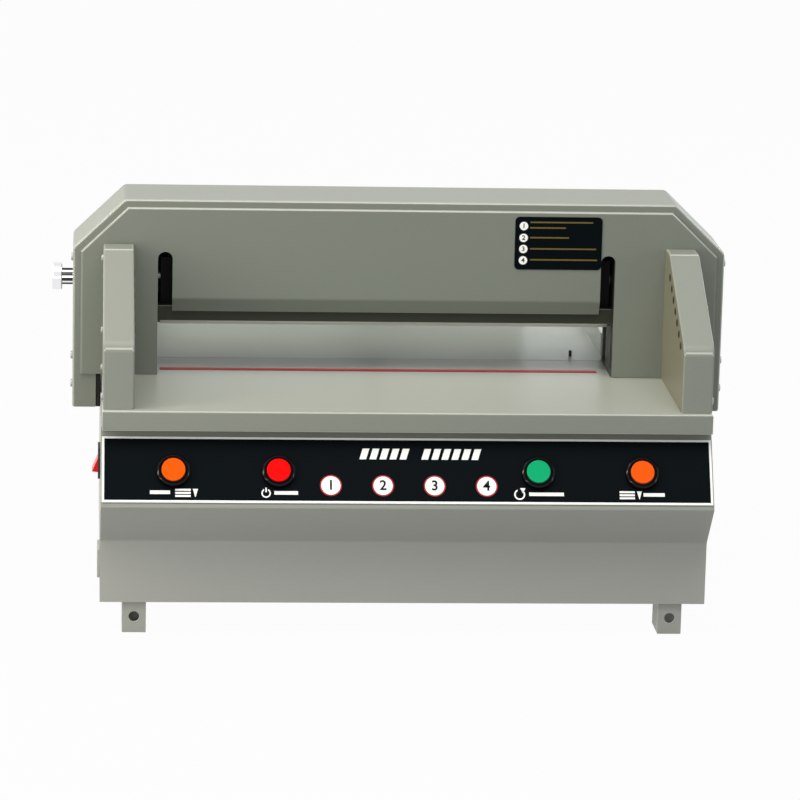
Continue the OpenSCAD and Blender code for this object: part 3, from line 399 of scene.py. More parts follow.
def makePowderGrain():  # mottled powder coat with a soft orange peel
    group, given, result = newGroup(
        "powderGrain", [("Paint", "colour"), ("Fleck", "colour"), ("Grain Scale", "value"), *glossInputs],
        coatOutputs)
    paint, fleck = given.outputs["Paint"], given.outputs["Fleck"]
    place = addNode(group, "TexCoord").outputs["Object"]
    grain = noiseNode(group, place, given.outputs["Grain Scale"], 2.5, 0.65)
    cloud = noiseNode(group, place, 7.0)
    flecked = mixColour(group, spread(group, grain, 0.36, 0.66), paint, fleck)
    clouded = mixColour(group, spread(group, cloud, 0.35, 0.7, toHigh=0.5), flecked, paint)
    group.links.new(clouded, result.inputs["Colour"])
    varyGloss(group, given, result, grain, 0.3)
    group.links.new(noiseNode(group, place, 420.0, 1.5), result.inputs["Height"])
    return group


def makeToolLines():  # fine lines left by grinding or brushing, along the axis that is stretched least
    group, given, result = newGroup(
        "toolLines", [("Metal", "colour"), ("Line", "colour"), ("Stretch", "vector"), *glossInputs],
        coatOutputs)
    metal, line = given.outputs["Metal"], given.outputs["Line"]
    place = addNode(group, "TexCoord").outputs["Object"]
    mapping = addNode(group, "Mapping", {"Vector": place, "Scale": given.outputs["Stretch"]})
    lines = noiseNode(group, mapping.outputs["Vector"], 1.0, 3.0, 0.7)
    cloud = noiseNode(group, place, 18.0)
    lined = mixColour(group, spread(group, lines, 0.35, 0.68), metal, line)
    clouded = mixColour(group, spread(group, cloud, 0.4, 0.75, toHigh=0.35), lined, line)
    group.links.new(clouded, result.inputs["Colour"])
    varyGloss(group, given, result, lines, 0.3)
    group.links.new(lines, result.inputs["Height"])
    return group


def makeHandMarks():  # faint smears of use in the gloss
    group, given, result = newGroup("handMarks", [("Size", "value"), *glossInputs],
                                    [("Roughness", "value"), ("Mask", "value")])
    place = addNode(group, "TexCoord").outputs["Object"]
    smear = noiseNode(group, place, given.outputs["Size"], 4.0, 0.6)
    varyGloss(group, given, result, smear, 0.35)
    group.links.new(spread(group, smear, 0.45, 0.75), result.inputs["Mask"])
    return group


powderGrain = makePowderGrain()
toolLines = makeToolLines()
handMarks = makeHandMarks()


def newFinish(name, group, values):
    material = bpy.data.materials.new(name)
    material.use_nodes = True
    tree = material.node_tree
    shader = tree.nodes["Principled BSDF"]
    effect = addNode(tree, "Group", values, node_tree=group)
    tree.links.new(effect.outputs["Roughness"], shader.inputs["Roughness"])
    return material, tree, shader, effect


def addBump(tree, shader, height, strength, depth):
    bump = addNode(tree, "Bump", {"Strength": strength, "Distance": depth * mm, "Height": height})
    tree.links.new(bump.outputs["Normal"], shader.inputs["Normal"])


finishSet = {"coatRough": 0.12, "peelDeep": 0.25, "lineDeep": 0.1, "lensMarks": 160.0,
             "lensGloss": (0.16, 0.3), "lensSpecular": 0.05, "clearMarks": 9.0,
             "clearGloss": (0.03, 0.1), "clearTint": (0.93, 0.965, 0.97), "clearIor": 1.49}


def powderFinish(name, paint, fleck, gloss, grain=900.0, bump=0.16, specular=0.5, coat=0.0):
    material, tree, shader, effect = newFinish(name, powderGrain, {
        "Paint": (*paint, 1), "Fleck": (*fleck, 1), "Grain Scale": grain, "Low Gloss": gloss[0],
        "High Gloss": gloss[1]})
    setInputs(tree, shader, {"Base Color": effect.outputs["Colour"], "Specular IOR Level": specular,
                             "Coat Weight": coat, "Coat Roughness": finishSet["coatRough"]})
    addBump(tree, shader, effect.outputs["Height"], bump, finishSet["peelDeep"])
    return material


def metalFinish(name, metal, line, stretch, gloss, metallic=1.0, bump=0.12):
    material, tree, shader, effect = newFinish(name, toolLines, {
        "Metal": (*metal, 1), "Line": (*line, 1), "Stretch": stretch, "Low Gloss": gloss[0],
        "High Gloss": gloss[1]})
    setInputs(tree, shader, {"Base Color": effect.outputs["Colour"], "Metallic": metallic})
    addBump(tree, shader, effect.outputs["Height"], bump, finishSet["lineDeep"])
    return material


def paintFrontShade(material, node, shadeColour, soft):  # painted shade: the front half of the stick is darkened, standing for the shade on the stick's front
    low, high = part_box(node)
    middle = (low[1] + high[1]) / 2
    tree = material.node_tree
    shader = tree.nodes["Principled BSDF"]
    fresh = shader.inputs["Base Color"].links[0].from_socket
    split = addNode(tree, "SeparateXYZ", {0: addNode(tree, "TexCoord").outputs["Object"]})
    front = spread(tree, split.outputs["Y"], middle - soft * mm, middle + soft * mm, 1.0, 0.0)
    tree.links.new(mixColour(tree, front, fresh, shadeColour), shader.inputs["Base Color"])


def lensFinish(name, colour, smear, litLookGlow):
    low, high = finishSet["lensGloss"]
    material, tree, shader, effect = newFinish(name, handMarks, {
        "Size": finishSet["lensMarks"], "Low Gloss": low, "High Gloss": high})
    tint = mixColour(tree, effect.outputs["Mask"], colour, smear)
    # painted light: a faint glow gives the lenses a lit look
    setInputs(tree, shader, {"Base Color": tint, "Emission Color": tint, "Emission Strength": litLookGlow,
                             "Specular IOR Level": finishSet["lensSpecular"]})
    return material


def clearFinish(name):
    low, high = finishSet["clearGloss"]
    material, tree, shader, _ = newFinish(name, handMarks, {
        "Size": finishSet["clearMarks"], "Low Gloss": low, "High Gloss": high})
    setInputs(tree, shader, {"Base Color": (*finishSet["clearTint"], 1), "Transmission Weight": 1.0,
                             "IOR": finishSet["clearIor"]})
    return material


paintSet = {
    # hood, plate and casing are one grey paint in three copies: the plate copy is darker, painted shade, and
    # the casing copy is lighter, painted light
    "hood": ((0.254, 0.27, 0.236), (0.241, 0.257, 0.224), (0.36, 0.46)),
    "plate": ((0.19, 0.209, 0.178), (0.18, 0.199, 0.17), (0.36, 0.46)),
    "casing": ((0.416, 0.426, 0.401), (0.4, 0.41, 0.386), (0.36, 0.46)),
    # bend: a lighter copy of the grey with a clear coat, a painted highlight along rounded bends
    "bend": ((0.35, 0.37, 0.33), (0.335, 0.354, 0.316), (0.26, 0.34)),
    # wingBend: a still lighter copy with a stronger coat, a painted highlight on the wings' bends
    "wingBend": ((0.48, 0.5, 0.45), (0.46, 0.48, 0.43), (0.3, 0.4)),
    "table": ((0.4, 0.42, 0.37), (0.384, 0.404, 0.356), (0.28, 0.34)),
    "window": ((0.21, 0.2, 0.135), (0.198, 0.19, 0.127), (0.3, 0.4)),
    "foot": ((0.4, 0.41, 0.38), (0.38, 0.39, 0.36), (0.38, 0.5)),
}
# the plate finish is the darker copy of the grey (painted shade), the casing finish the lighter copy (painted
# light)
hoodPaint = powderFinish("hoodPaint", *paintSet["hood"], specular=0.3)
plateShadePaint = powderFinish("plateShadePaint", *paintSet["plate"], specular=0.3)
casingLitPaint = powderFinish("casingLitPaint", *paintSet["casing"], specular=0.3)
cellWindow = powderFinish("cellWindow", *paintSet["window"], bump=0.05, specular=0.3)
# painted highlight: the lighter, glossier band laid on rounded bends
bendHighlight = powderFinish("bendHighlight", *paintSet["bend"], coat=0.45)
# painted highlight: the light band on the wings' bends
wingBendHighlight = powderFinish("wingBendHighlight", *paintSet["wingBend"], coat=0.6)
tablePaint = powderFinish("tablePaint", *paintSet["table"], bump=0.1)
footPaint = powderFinish("footPaint", *paintSet["foot"], specular=0.3)
blackMoulding = powderFinish("blackMoulding", (0.009, 0.009, 0.01), (0.014, 0.014, 0.015), (0.4, 0.52),
                             bump=0.3)
bezelGloss = powderFinish("bezelGloss", (0.002, 0.002, 0.003), (0.003, 0.003, 0.004), (0.08, 0.12),
                          bump=0.02, specular=0.03)
bezelEdge = powderFinish("bezelEdge", (0.002, 0.002, 0.003), (0.003, 0.003, 0.004), (0.05, 0.08),
                         bump=0.01, specular=0.15)
labelBlack = powderFinish("labelBlack", (0.001, 0.0027, 0.0038), (0.002, 0.0037, 0.005), (0.45, 0.55),
                          bump=0.05, specular=0.03)
labelWhite = powderFinish("labelWhite", (0.93, 0.94, 0.93), (0.9, 0.91, 0.9), (0.4, 0.5),
                          bump=0.05, specular=0.2)
markRed = powderFinish("markRed", (0.42, 0.02, 0.025), (0.36, 0.018, 0.022), (0.4, 0.5),
                       bump=0.05, specular=0.2)
markGold = powderFinish("markGold", (0.16, 0.115, 0.03), (0.13, 0.095, 0.025), (0.4, 0.5),
                        bump=0.05, specular=0.1)
stickRed = powderFinish("stickRed", (0.64, 0.05, 0.052), (0.56, 0.035, 0.038), (0.4, 0.5),
                        grain=500.0, bump=0.2, specular=0.1)
# painted shade on the front half of the stick
paintFrontShade(stickRed, "cutting_stick", (0.27, 0.006, 0.011), 1)
rockerRed = powderFinish("rockerRed", (0.74, 0.008, 0.01), (0.68, 0.007, 0.009), (0.2, 0.28),
                         grain=500.0, bump=0.05, specular=0.2)
motorEnamel = powderFinish("motorEnamel", (0.09, 0.11, 0.13), (0.06, 0.075, 0.09), (0.4, 0.55),
                           grain=200.0, bump=0.4)
beltRubber = powderFinish("beltRubber", (0.01, 0.01, 0.01), (0.016, 0.016, 0.016), (0.6, 0.8),
                          grain=600.0, bump=0.4, specular=0.2)
boardGreen = powderFinish("boardGreen", (0.02, 0.13, 0.05), (0.03, 0.19, 0.08), (0.3, 0.42),
                          grain=120.0, bump=0.1)
carrierOlive = powderFinish("carrierOlive", (0.03, 0.034, 0.021), (0.024, 0.028, 0.017), (0.4, 0.5),
                            grain=500.0, bump=0.15, specular=0.2)
darkSteel = metalFinish("darkSteel", (0.06, 0.06, 0.05), (0.042, 0.042, 0.035), (8, 400, 400), (0.4, 0.54),
                        metallic=0.4)
# painted shade: a near-black finish for the blade body, so that the slots read dark
bladeShadeBlack = powderFinish("bladeShadeBlack", (0.004, 0.004, 0.005), (0.006, 0.006, 0.007), (0.5, 0.6),
                          grain=500.0, bump=0.1, specular=0.1)
groundSteel = metalFinish("groundSteel", (0.56, 0.56, 0.55), (0.44, 0.44, 0.43), (6, 500, 500), (0.26, 0.4))
screwZinc = metalFinish("screwZinc", (0.4, 0.4, 0.38), (0.34, 0.34, 0.32), (40, 40, 40), (0.45, 0.6))
knobChrome = metalFinish("knobChrome", (0.86, 0.87, 0.88), (0.8, 0.81, 0.82), (30, 30, 30), (0.05, 0.09),
                         bump=0.02)
# painted shade: a near-black metal in the flute grooves, standing for the dark bands seen on the chrome knob
knobGrooveShade = metalFinish("knobGrooveShade", (0.07, 0.07, 0.075), (0.05, 0.05, 0.055), (30, 30, 30), (0.2, 0.3),
                         bump=0.02)
gaugeAlloy = metalFinish("gaugeAlloy", (0.68, 0.69, 0.65), (0.6, 0.61, 0.57), (5, 380, 380), (0.3, 0.44))
nutBronze = metalFinish("nutBronze", (0.62, 0.42, 0.17), (0.5, 0.33, 0.13), (60, 60, 900), (0.26, 0.4))
# the last number is the painted glow of each lens
orangeLens = lensFinish("orangeLens", (0.8, 0.092, 0.002), (0.76, 0.086, 0.002), 0.08)
redLens = lensFinish("redLens", (0.88, 0.002, 0.002), (0.84, 0.002, 0.002), 0.12)
greenLens = lensFinish("greenLens", (0.003, 0.37, 0.15), (0.003, 0.35, 0.14), 0.04)
slotFinish = {
    "paint": casingLitPaint, "table_paint": tablePaint, "foot_paint": footPaint, "dark_steel": darkSteel,
    "steel": groundSteel, "chrome": knobChrome, "gauge": gaugeAlloy, "bronze": nutBronze,
    "motor": motorEnamel, "belt": beltRubber, "board": boardGreen, "control_plate": labelBlack,
    "black_plastic": blackMoulding, "bezel": bezelGloss, "stick": stickRed, "orange_lens": orangeLens,
    "red_lens": redLens, "green_lens": greenLens, "clear": clearFinish("clearAcrylic")}
print("finishes mixed:", len(slotFinish))


# hood

hoodSet = {"half": 327.5, "topHalf": 276.2, "front": 164, "back": 251, "bottom": -35, "shoulder": 128.4,
           "top": 177.7, "skirt": 23.5, "wall": 2, "bend": 2.6, "knobY": 232, "knobZ": 86, "knobHole": 5.3,
           "cutOut": 5, "cutLong": 12}


def frontBend(face):  # the rounded edge between a front and what lies behind it, which gets the painted highlight band
    return -0.97 < face.normal.y < -0.1


def startShouldered(name, s):  # a block that narrows above its shoulders
    block = startBlock(name, (-s["half"], s["front"], s["bottom"]), (s["half"], s["back"], s["shoulder"]))
    pick(block, "faces", lambda f: f.normal.z > 0.9)
    push(0, 0, s["top"] - s["shoulder"])
    bpy.ops.transform.resize(value=(s["topHalf"] / s["half"], 1, 1),
                             center_override=at(0, s["front"], s["top"]))
    return block


def makeHoodShell():
    h = hoodSet
    shell = startShouldered("hoodShell", h)
    pick(shell, "faces", lambda f: f.normal.y < -0.9)
    bpy.ops.mesh.dissolve_faces()
    pick(shell, "faces", lambda f: f.normal.y < -0.9)
    bpy.ops.mesh.inset(thickness=h["skirt"] * mm)
    inner = h["half"] - h["skirt"]
    low = h["bottom"] + h["skirt"]
    midWide, midTop = 40, h["shoulder"] + 10  # the front's middle, below the strip at its top
    pick(shell, "faces", lambda f: f.normal.y > 0.9 or f.normal.z < -0.9 or (
        f.normal.y < -0.9 and abs(spot(f).x) < midWide and spot(f).z < midTop))
    bpy.ops.mesh.delete(type="FACE")
    pick(shell, "verts", lambda v: near(spot(v).z, low) and near(abs(spot(v).x), inner))
    shift(0, 0, -h["skirt"])
    for side in (-1, 1):
        pick(shell, "edges", lambda e: runs(e).y > 0.9 and near(spot(e).z, h["bottom"])
             and near(spot(e).x, side * h["half"]))
        push(-side * h["skirt"], 0, 0)
    mergePoints(shell, 0.05)
    bpy.ops.mesh.delete_loose()
    bpy.ops.mesh.select_all(action="SELECT")
    bpy.ops.mesh.normals_make_consistent(inside=False)
    easeEdges(shell, h["bend"], 4, 20)
    giveThickness(shell, h["wall"])
    cutWith(shell, startRound("knobHole", (-h["half"] - h["cutOut"], h["knobY"], h["knobZ"]), (1, 0, 0),
                              h["knobHole"], h["cutLong"], 32))
    # the hood's rounded front edges get the painted highlight band
    finishPiece(shell, "machine", "paint", hoodPaint, "hood_shell", second=bendHighlight, where=frontBend)
    # painted shade: the hood's flat front faces get the darker plate copy of the grey
    shell.data.materials.append(plateShadePaint)
    coatFaces(shell, 2, lambda f: f.normal.y < -0.97)


makeHoodShell()

plateSet = {"half": 320, "topHalf": 273.2, "front": 161, "back": 164, "bottom": 0.3, "shoulder": 125.2,
            "top": 170.2, "round": 2.7, "throatLeft": -242.9, "throatRight": 216.5, "bendZ": 78, "slot": 14.5,
            "slotTop": 125.5, "lipIn": 7, "lipDown": 14, "lipRound": 1.6, "ease": 0.4,
            "cutFront": 150, "cutBack": 180, "cutLow": -10, "slotLow": 58}


def makeFrontPlate():
    p = plateSet
    plate = startShouldered("hoodFrontPlate", p)
    for side in (-1, 1):
        pick(plate, "faces", lambda f: f.normal.y * side > 0.9)
        bpy.ops.mesh.dissolve_faces()
    roundOff(plate, lambda e: near(spot(e).y, p["front"]) and runs(e).y < 0.1 and spot(e).z > p["bottom"] + 5,
             p["round"], 4)
    cutters = [startBlock("throatCut", (p["throatLeft"], p["cutFront"], p["cutLow"]),
                          (p["throatRight"], p["cutBack"], p["bendZ"]))]
    for x in (p["throatLeft"], p["throatRight"] - p["slot"]):
        slotCut = startBlock("slotCut", (x, p["cutFront"], p["slotLow"]),
                             (x + p["slot"], p["cutBack"], p["slotTop"]))
        roundOff(slotCut, lambda e: runs(e).y > 0.9 and near(spot(e).z, p["slotTop"]),
                 p["slot"] / 2 - 0.05, 8)
        cutters.append(slotCut)
    cutWith(plate, *cutters)
    pick(plate, "faces", lambda f: f.normal.z < -0.9 and near(spot(f).z, p["bendZ"], 0.5))
    push(0, p["lipIn"], -p["lipDown"])
    roundOff(plate, lambda e: runs(e).x > 0.9 and near(spot(e).z, p["bendZ"], 0.5)
             and near(spot(e).y, p["front"]), p["lipRound"], 3)
    easeEdges(plate, p["ease"], 2, 50)
    # painted shade: the front plate takes the darker copy of the grey
    finishPiece(plate, "machine", "paint", plateShadePaint, "hood_front_plate", second=bendHighlight,
                # the plate's top bends get the painted highlight band
                where=lambda f: frontBend(f) and spot(f).z > p["shoulder"])


makeFrontPlate()

indexSet = {"left": 114.1, "right": 202.0, "low": 111.2, "high": 165.0, "thick": 0.8, "corner": 4.5,
            "discX": 122.7, "discs": (155.6, 143.6, 132.2, 120.6), "discRadius": 4.3, "discHigh": 0.15,
            "number": 6.4, "numberHigh": 0.1, "numberLift": 0.17, "bar": 1.5, "barHigh": 0.12,
            "lines": ((129.0, 192.4, 159.5), (129.0, 165.2, 153.9), (129.2, 168.5, 143.9),
                      (129.4, 196.2, 132.5), (129.6, 197.6, 121.3))}


def plainNumber(text, size, thick, base):  # a raised number, lying in the base's XY plane
    clearSelection()
    bpy.ops.object.text_add(location=(0, 0, 0))
    number = bpy.context.object
    number.data.body = text
    number.data.size = size * mm
    number.data.extrude = thick / 2 * mm
    number.data.offset = 0.02 * size * mm
    number.data.align_x = "CENTER"
    number.data.align_y = "CENTER"
    bpy.ops.object.convert(target="MESH")
    number = bpy.context.object
    number.matrix_world = base
    bpy.ops.object.transform_apply(location=True, rotation=True, scale=True)
    mergePoints(number, 0.005)
    clearSelection()
    return number


def makeIndexPlate():
    s = indexSet
    face = plateSet["front"] - s["thick"]
    plate = startBlock("indexPlate", (s["left"], face, s["low"]), (s["right"], plateSet["front"], s["high"]))
    roundOff(plate, lambda e: runs(e).y > 0.9, s["corner"], 6)
    easeEdges(plate, 0.25, 2, 50)
    finishPiece(plate, "machine", "control_plate", labelBlack)
    upright = Matrix.Rotation(math.radians(90), 4, "X")
    discs, numbers, bars = [], [], []
    for i, z in enumerate(s["discs"]):
        disc = startRound("indexDisc", (s["discX"], face, z), (0, -1, 0), s["discRadius"], s["discHigh"], 32)
        easeEdges(disc, 0.05, 1, 50)
        discs.append(disc)
        lift = Matrix.Translation(at(s["discX"], face - s["numberLift"], z))
        numbers.append(plainNumber(str(i + 1), s["number"], s["numberHigh"], lift @ upright))
    for start, end, z in s["lines"]:
        bar = startBlock("indexBar", (start, face - s["barHigh"], z - s["bar"] / 2),
                         (end, face, z + s["bar"] / 2))
        easeEdges(bar, 0.05, 1, 50)
        bars.append(bar)
    finishPiece(joinAll("indexDiscs", discs), "machine", "control_plate", labelWhite)
    finishPiece(joinAll("indexNumbers", numbers), "machine", "control_plate", labelBlack)
    finishPiece(joinAll("indexBars", bars), "machine", "control_plate", markGold)


makeIndexPlate()
print("hood done")


# wings of the light barrier

wingSet = {"inner": 267, "outer": 297.5, "front": 5.6, "rear": 161, "bottom": 0.3, "bend": 63.8, "top": 133,
           "topFront": 135.5, "round": 2, "wideRound": 8, "wall": 2, "cells": 7, "firstCell": 20,
           "pitch": 17.5, "drop": 12, "hole": 4.4, "collar": 3.8, "collarHigh": 0.6, "cutReach": 3,
           "bandTop": 129}


def makeWing(side, name, node):
    w = wingSet
    xs = sorted((side * w["inner"], side * w["outer"]))
    wing = startBlock(name, (xs[0], w["front"], w["bottom"]), (xs[1], w["rear"], w["top"]))
    pick(wing, "faces", lambda f: True)
    bpy.ops.mesh.bisect(plane_co=at(0, 0, w["bend"]), plane_no=(0, 0, 1))
    pick(wing, "edges", lambda e: runs(e).x > 0.9 and near(spot(e).z, w["top"])
         and near(spot(e).y, w["front"]))
    shift(0, w["topFront"] - w["front"], 0)
    pick(wing, "faces", lambda f: f.normal.z < -0.9 or f.normal.y > 0.9)
    bpy.ops.mesh.delete(type="FACE")
    roundOff(wing, lambda e: runs(e).x > 0.9 and near(spot(e).z, w["bend"]), w["wideRound"], 8)
    easeEdges(wing, w["round"], 3, 25)
    giveThickness(wing, w["wall"])
    slope = Vector((0, w["topFront"] - w["front"], w["top"] - w["bend"])).normalized()
    below = Vector((0, slope.z, -slope.y))
    start = Vector((side * w["inner"], w["front"], w["bend"])) + below * w["drop"]
    reach = Vector((w["cutReach"], 0, 0))
    collars = []
    for i in range(w["cells"]):
        middle = start + slope * (w["firstCell"] + i * w["pitch"])
        collar = startRound("cellCollar", middle, (-side, 0, 0), w["collar"], w["collarHigh"], 32)
        for piece in (wing, collar):
            cutWith(piece, startRound("cellCut", middle - reach, (1, 0, 0), w["hole"] / 2, 2 * reach.x, 24))
        easeEdges(collar, 0.2, 2, 50)
        collars.append(collar)
    finishPiece(joinAll(name + "Cells", collars), "machine", "black_plastic", blackMoulding)

    def onBend(face):  # the soft bends in front and at the top, which get the painted highlight band
        inFront = -0.96 < face.normal.y < -0.92 and spot(face).z < w["bandTop"]
        return abs(face.normal.x) < 0.3 and (inFront or 0.9 < face.normal.z < 0.985)

    # the wings' bends get the painted highlight band
    finishPiece(wing, "machine", "paint", hoodPaint, node, second=wingBendHighlight, where=onBend)
    wing.data.materials.append(cellWindow)
    coatFaces(wing, 2, lambda f: f.normal.x * side < -0.95 and near(spot(f).x, side * w["inner"], 0.5))


makeWing(-1, "leftWing", "left_wing")
makeWing(1, "rightWing", "right_wing")
print("wings done")


# casing

coverSet = {"half": 299, "kink": (18.5, -134.5), "nose": panelSet["nose"][1:], "top": panelSet["top"][1:],
            "bottom": -197, "bend": 1.7, "wall": 2, "band": 4, "holes": (-228.8, -126.7, 126.7, 228.8),
            "row": 45.8, "hole": 22.4}


def cutButtonHoles(piece, reach):
    c = coverSet
    for x in c["holes"]:
        foot = (x, -c["row"], -reach)
        cutWith(piece, startRound("buttonCut", foot, (0, 0, 1), c["hole"] / 2, 2 * reach, 48, panelBase))


def makeFrontCover():
    c = coverSet
    clearSelection()
    middle = (c["kink"][1] + c["bottom"]) / 2
    bpy.ops.mesh.primitive_plane_add(size=1, location=Vector((0, c["kink"][0], middle)) * mm,
                                     rotation=(math.radians(90), 0, 0))
    bpy.context.object.scale = (2 * c["half"] * mm, (c["kink"][1] - c["bottom"]) * mm, 1)
    cover = settle("frontCover", machineBase)
    pick(cover, "edges", lambda e: runs(e).x > 0.9 and near(spot(e).z, c["kink"][1]))
    push(0, c["nose"][0] - c["kink"][0], c["nose"][1] - c["kink"][1])
    push(0, c["top"][0] - c["nose"][0], c["top"][1] - c["nose"][1])
    pick(cover, "faces", lambda f: True)
    bpy.ops.mesh.normals_make_consistent(inside=False)
    pick(cover, "faces", lambda f: f.normal.y > 0)
    bpy.ops.mesh.flip_normals()
    easeEdges(cover, c["bend"], 4, 20)
    giveThickness(cover, c["wall"])
    cutButtonHoles(cover, 8)
    # the band round the nose gets the painted highlight
    finishPiece(cover, "machine", "paint", casingLitPaint, "front_cover", second=bendHighlight,
                where=lambda f: near(spot(f).z, c["nose"][1], c["band"]) and -0.2 < f.normal.z < 0.5
                and f.normal.y < -0.5)
    # painted light and shade: the cover takes the lighter casing copy of the grey, and its slanted panel face
    # the darker hood copy
    cover.data.materials.append(hoodPaint)
    coatFaces(cover, 2, lambda f: f.normal.dot(panelOut) > 0.98)


makeFrontCover()


tableSet = {"half": 298, "round": 2.4, "ease": 0.6, "band": 4}


def makeFrontTable():
    t = tableSet
    table = copyNode("front_table")
    roundOff(table, lambda e: near(spot(e).z, 0) and ((runs(e).x > 0.9 and near(spot(e).y, 0))
             or (runs(e).y > 0.9 and near(abs(spot(e).x), t["half"]))), t["round"], 4)
    easeEdges(table, t["ease"], 2, 50)
    # the table's rounded front top edge gets the painted highlight band
    finishPiece(table, "machine", "table_paint", tablePaint, "front_table", second=bendHighlight,
                where=lambda f: near(spot(f).y, 0, t["band"]) and 0.12 < f.normal.z < 0.97)
    # painted shade: the table's front lip face gets the darker hood copy of the grey
    table.data.materials.append(hoodPaint)
    coatFaces(table, 2, lambda f: near(spot(f).y, 0, t["band"]) and f.normal.y < -0.97)


makeFrontTable()


def easeNode(node, body, slotName, ease, segments=2, angle=40, finish=None, **coats):
    piece = copyNode(node)
    easeEdges(piece, ease, segments, angle)
    finishPiece(piece, body, slotName, finish or slotFinish[slotName], node, **coats)


easeNode("rear_table", "machine", "table_paint", 1.2, 3)
for panelName in ("left_side_panel", "right_side_panel", "rear_panel"):
    easeNode(panelName, "machine", "paint", 0.5)
easeNode("hood_rear_plate", "machine", "paint", 0.4, finish=hoodPaint)
for corner in ("front_left", "front_right", "rear_left", "rear_right"):
    easeNode(corner + "_foot", "machine", "foot_paint", 0.6)
easeNode("side_vents", "machine", "paint", 0.4)
easeNode("power_inlet", "machine", "black_plastic", 0.8)
print("casing done")


# control panel

labelSet = {"half": 298, "top": 10.5, "high": 67, "border": 2.3, "ease": 0.3}


def makeControlPlate():
    c = labelSet
    plate = startBlock("controlPlate", (-c["half"], -c["top"] - c["high"], 0),
                       (c["half"], -c["top"], panelSet["thick"]), panelBase)

    def onFace(face):  # the wide face, without its eased edges
        return face.normal.dot(panelOut) > 0.95 and face.calc_area() > 0.01

    easeEdges(plate, c["ease"], 2, 50)
    pick(plate, "faces", onFace)
    bpy.ops.mesh.inset(thickness=(c["border"] - c["ease"]) * mm)
    plate.data.materials.append(labelWhite)
    plate.data.materials.append(labelBlack)
    coatFaces(plate, 1, onFace)
    cutButtonHoles(plate, 6)
    finishPiece(plate, "machine", "control_plate", None, "control_plate")


makeControlPlate()

# places of the marks: across from the middle, and down from the panel's top
markSet = {"skin": 0.1, "discs": (-76, -25.2, 25.2, 76), "discRow": 59.4, "discRadius": 10.7, "ring": 1.3,
           "discSkin": 0.2, "number": 14, "numberHigh": 0.08, "numberLift": 0.12,
           "title": ((-48, 5), (12.5, 6)), "titleTop": 21.5, "titleLow": 32.5, "titlePitch": 9.8,
           "titleBar": 6.6, "lean": 3.4, "row": 67.2, "bar": 3.6,
           "rowBars": ((-251.4, -232), (-131, -108), (117.3, 151.3), (229.4, 250.4))}
stackSet = {"spots": (-216, 217), "left": -11, "right": 4, "steps": (-3.6, -0.5, 2.6), "thick": 2,
            "wedge": 8.5, "wedgeWide": 5, "wedgeHigh": 8.2}
ringSet = {"down": 0.4, "lamp": (-139, 4.6, 1.3, 3.8), "lampBar": (-139.7, -138.3, -5.2, -0.6),
           "reset": (108, 5.4, 1.5, 4.0), "resetWedge": (111.2, -6.2, 5.4, 5)}


def panelBar(x0, x1, s0, s1, lean=0.0):
    top = panelSet["thick"]
    bar = startBlock("panelBar", (x0, -s1, top), (x1, -s0, top + markSet["skin"]), panelBase)
    if lean:
        middle = panelBase @ Vector((0, -(s0 + s1) / 2 * mm, 0))
        pick(bar, "verts", lambda v: (v.co - middle).dot(panelUp) > 0)
        shift(lean, 0, 0)
    easeEdges(bar, 0.04, 1, 50)
    return bar


def panelDisc(x, s, radius, skin):
    disc = startRound("panelDisc", (x, -s, panelSet["thick"]), (0, 0, 1), radius, skin, 48, panelBase)
    easeEdges(disc, 0.04, 1, 50)
    return disc


def panelPointer(x, s, wide, high):  # a wedge that points down the panel
    top = panelSet["thick"]
    head = startBlock("panelPointer", (x - wide / 2, -s - high, top),
                      (x + wide / 2, -s, top + markSet["skin"]), panelBase)
    middle = panelBase @ Vector((0, -(s + high / 2) * mm, 0))
    tip = panelBase @ Vector((x * mm, -(s + high) * mm, 0))
    pick(head, "verts", lambda v: (v.co - middle).dot(panelUp) < 0)
    bpy.ops.transform.resize(value=(0.08, 1, 1), center_override=tip)
    clearSelection()
    return head


def panelRing(x, s, radius, wall, gap):  # an open ring, with its gap upwards
    ring = startRound("panelRing", (x, -s, panelSet["thick"]), (0, 0, 1), radius, markSet["skin"], 48,
                      panelBase)
    hole = startRound("ringHole", (x, -s, 0), (0, 0, 1), radius - wall, 6, 48, panelBase)
    slit = startBlock("ringSlit", (x - gap / 2, -s, 0), (x + gap / 2, -s + radius + 2, 6), panelBase)
    cutWith(ring, hole, slit)
    return ring


def stackMark(x, s):  # a pointer beside a stack of sheets
    k = stackSet
    marks = [panelBar(x + k["left"], x + k["right"], s + step, s + step + k["thick"]) for step in k["steps"]]
    return marks + [panelPointer(x + k["wedge"], s + k["steps"][0], k["wedgeWide"], k["wedgeHigh"])]


def lampMark(s):  # an open ring with a bar in its gap
    x, *shape = ringSet["lamp"]
    left, right, top, low = ringSet["lampBar"]
    return [panelRing(x, s + ringSet["down"], *shape), panelBar(left, right, s + top, s + low)]


def resetMark(s):  # an open ring that ends in a pointer
    x, *shape = ringSet["reset"]
    wedgeX, top, wide, high = ringSet["resetWedge"]
    return [panelRing(x, s + ringSet["down"], *shape), panelPointer(wedgeX, s + top, wide, high)]


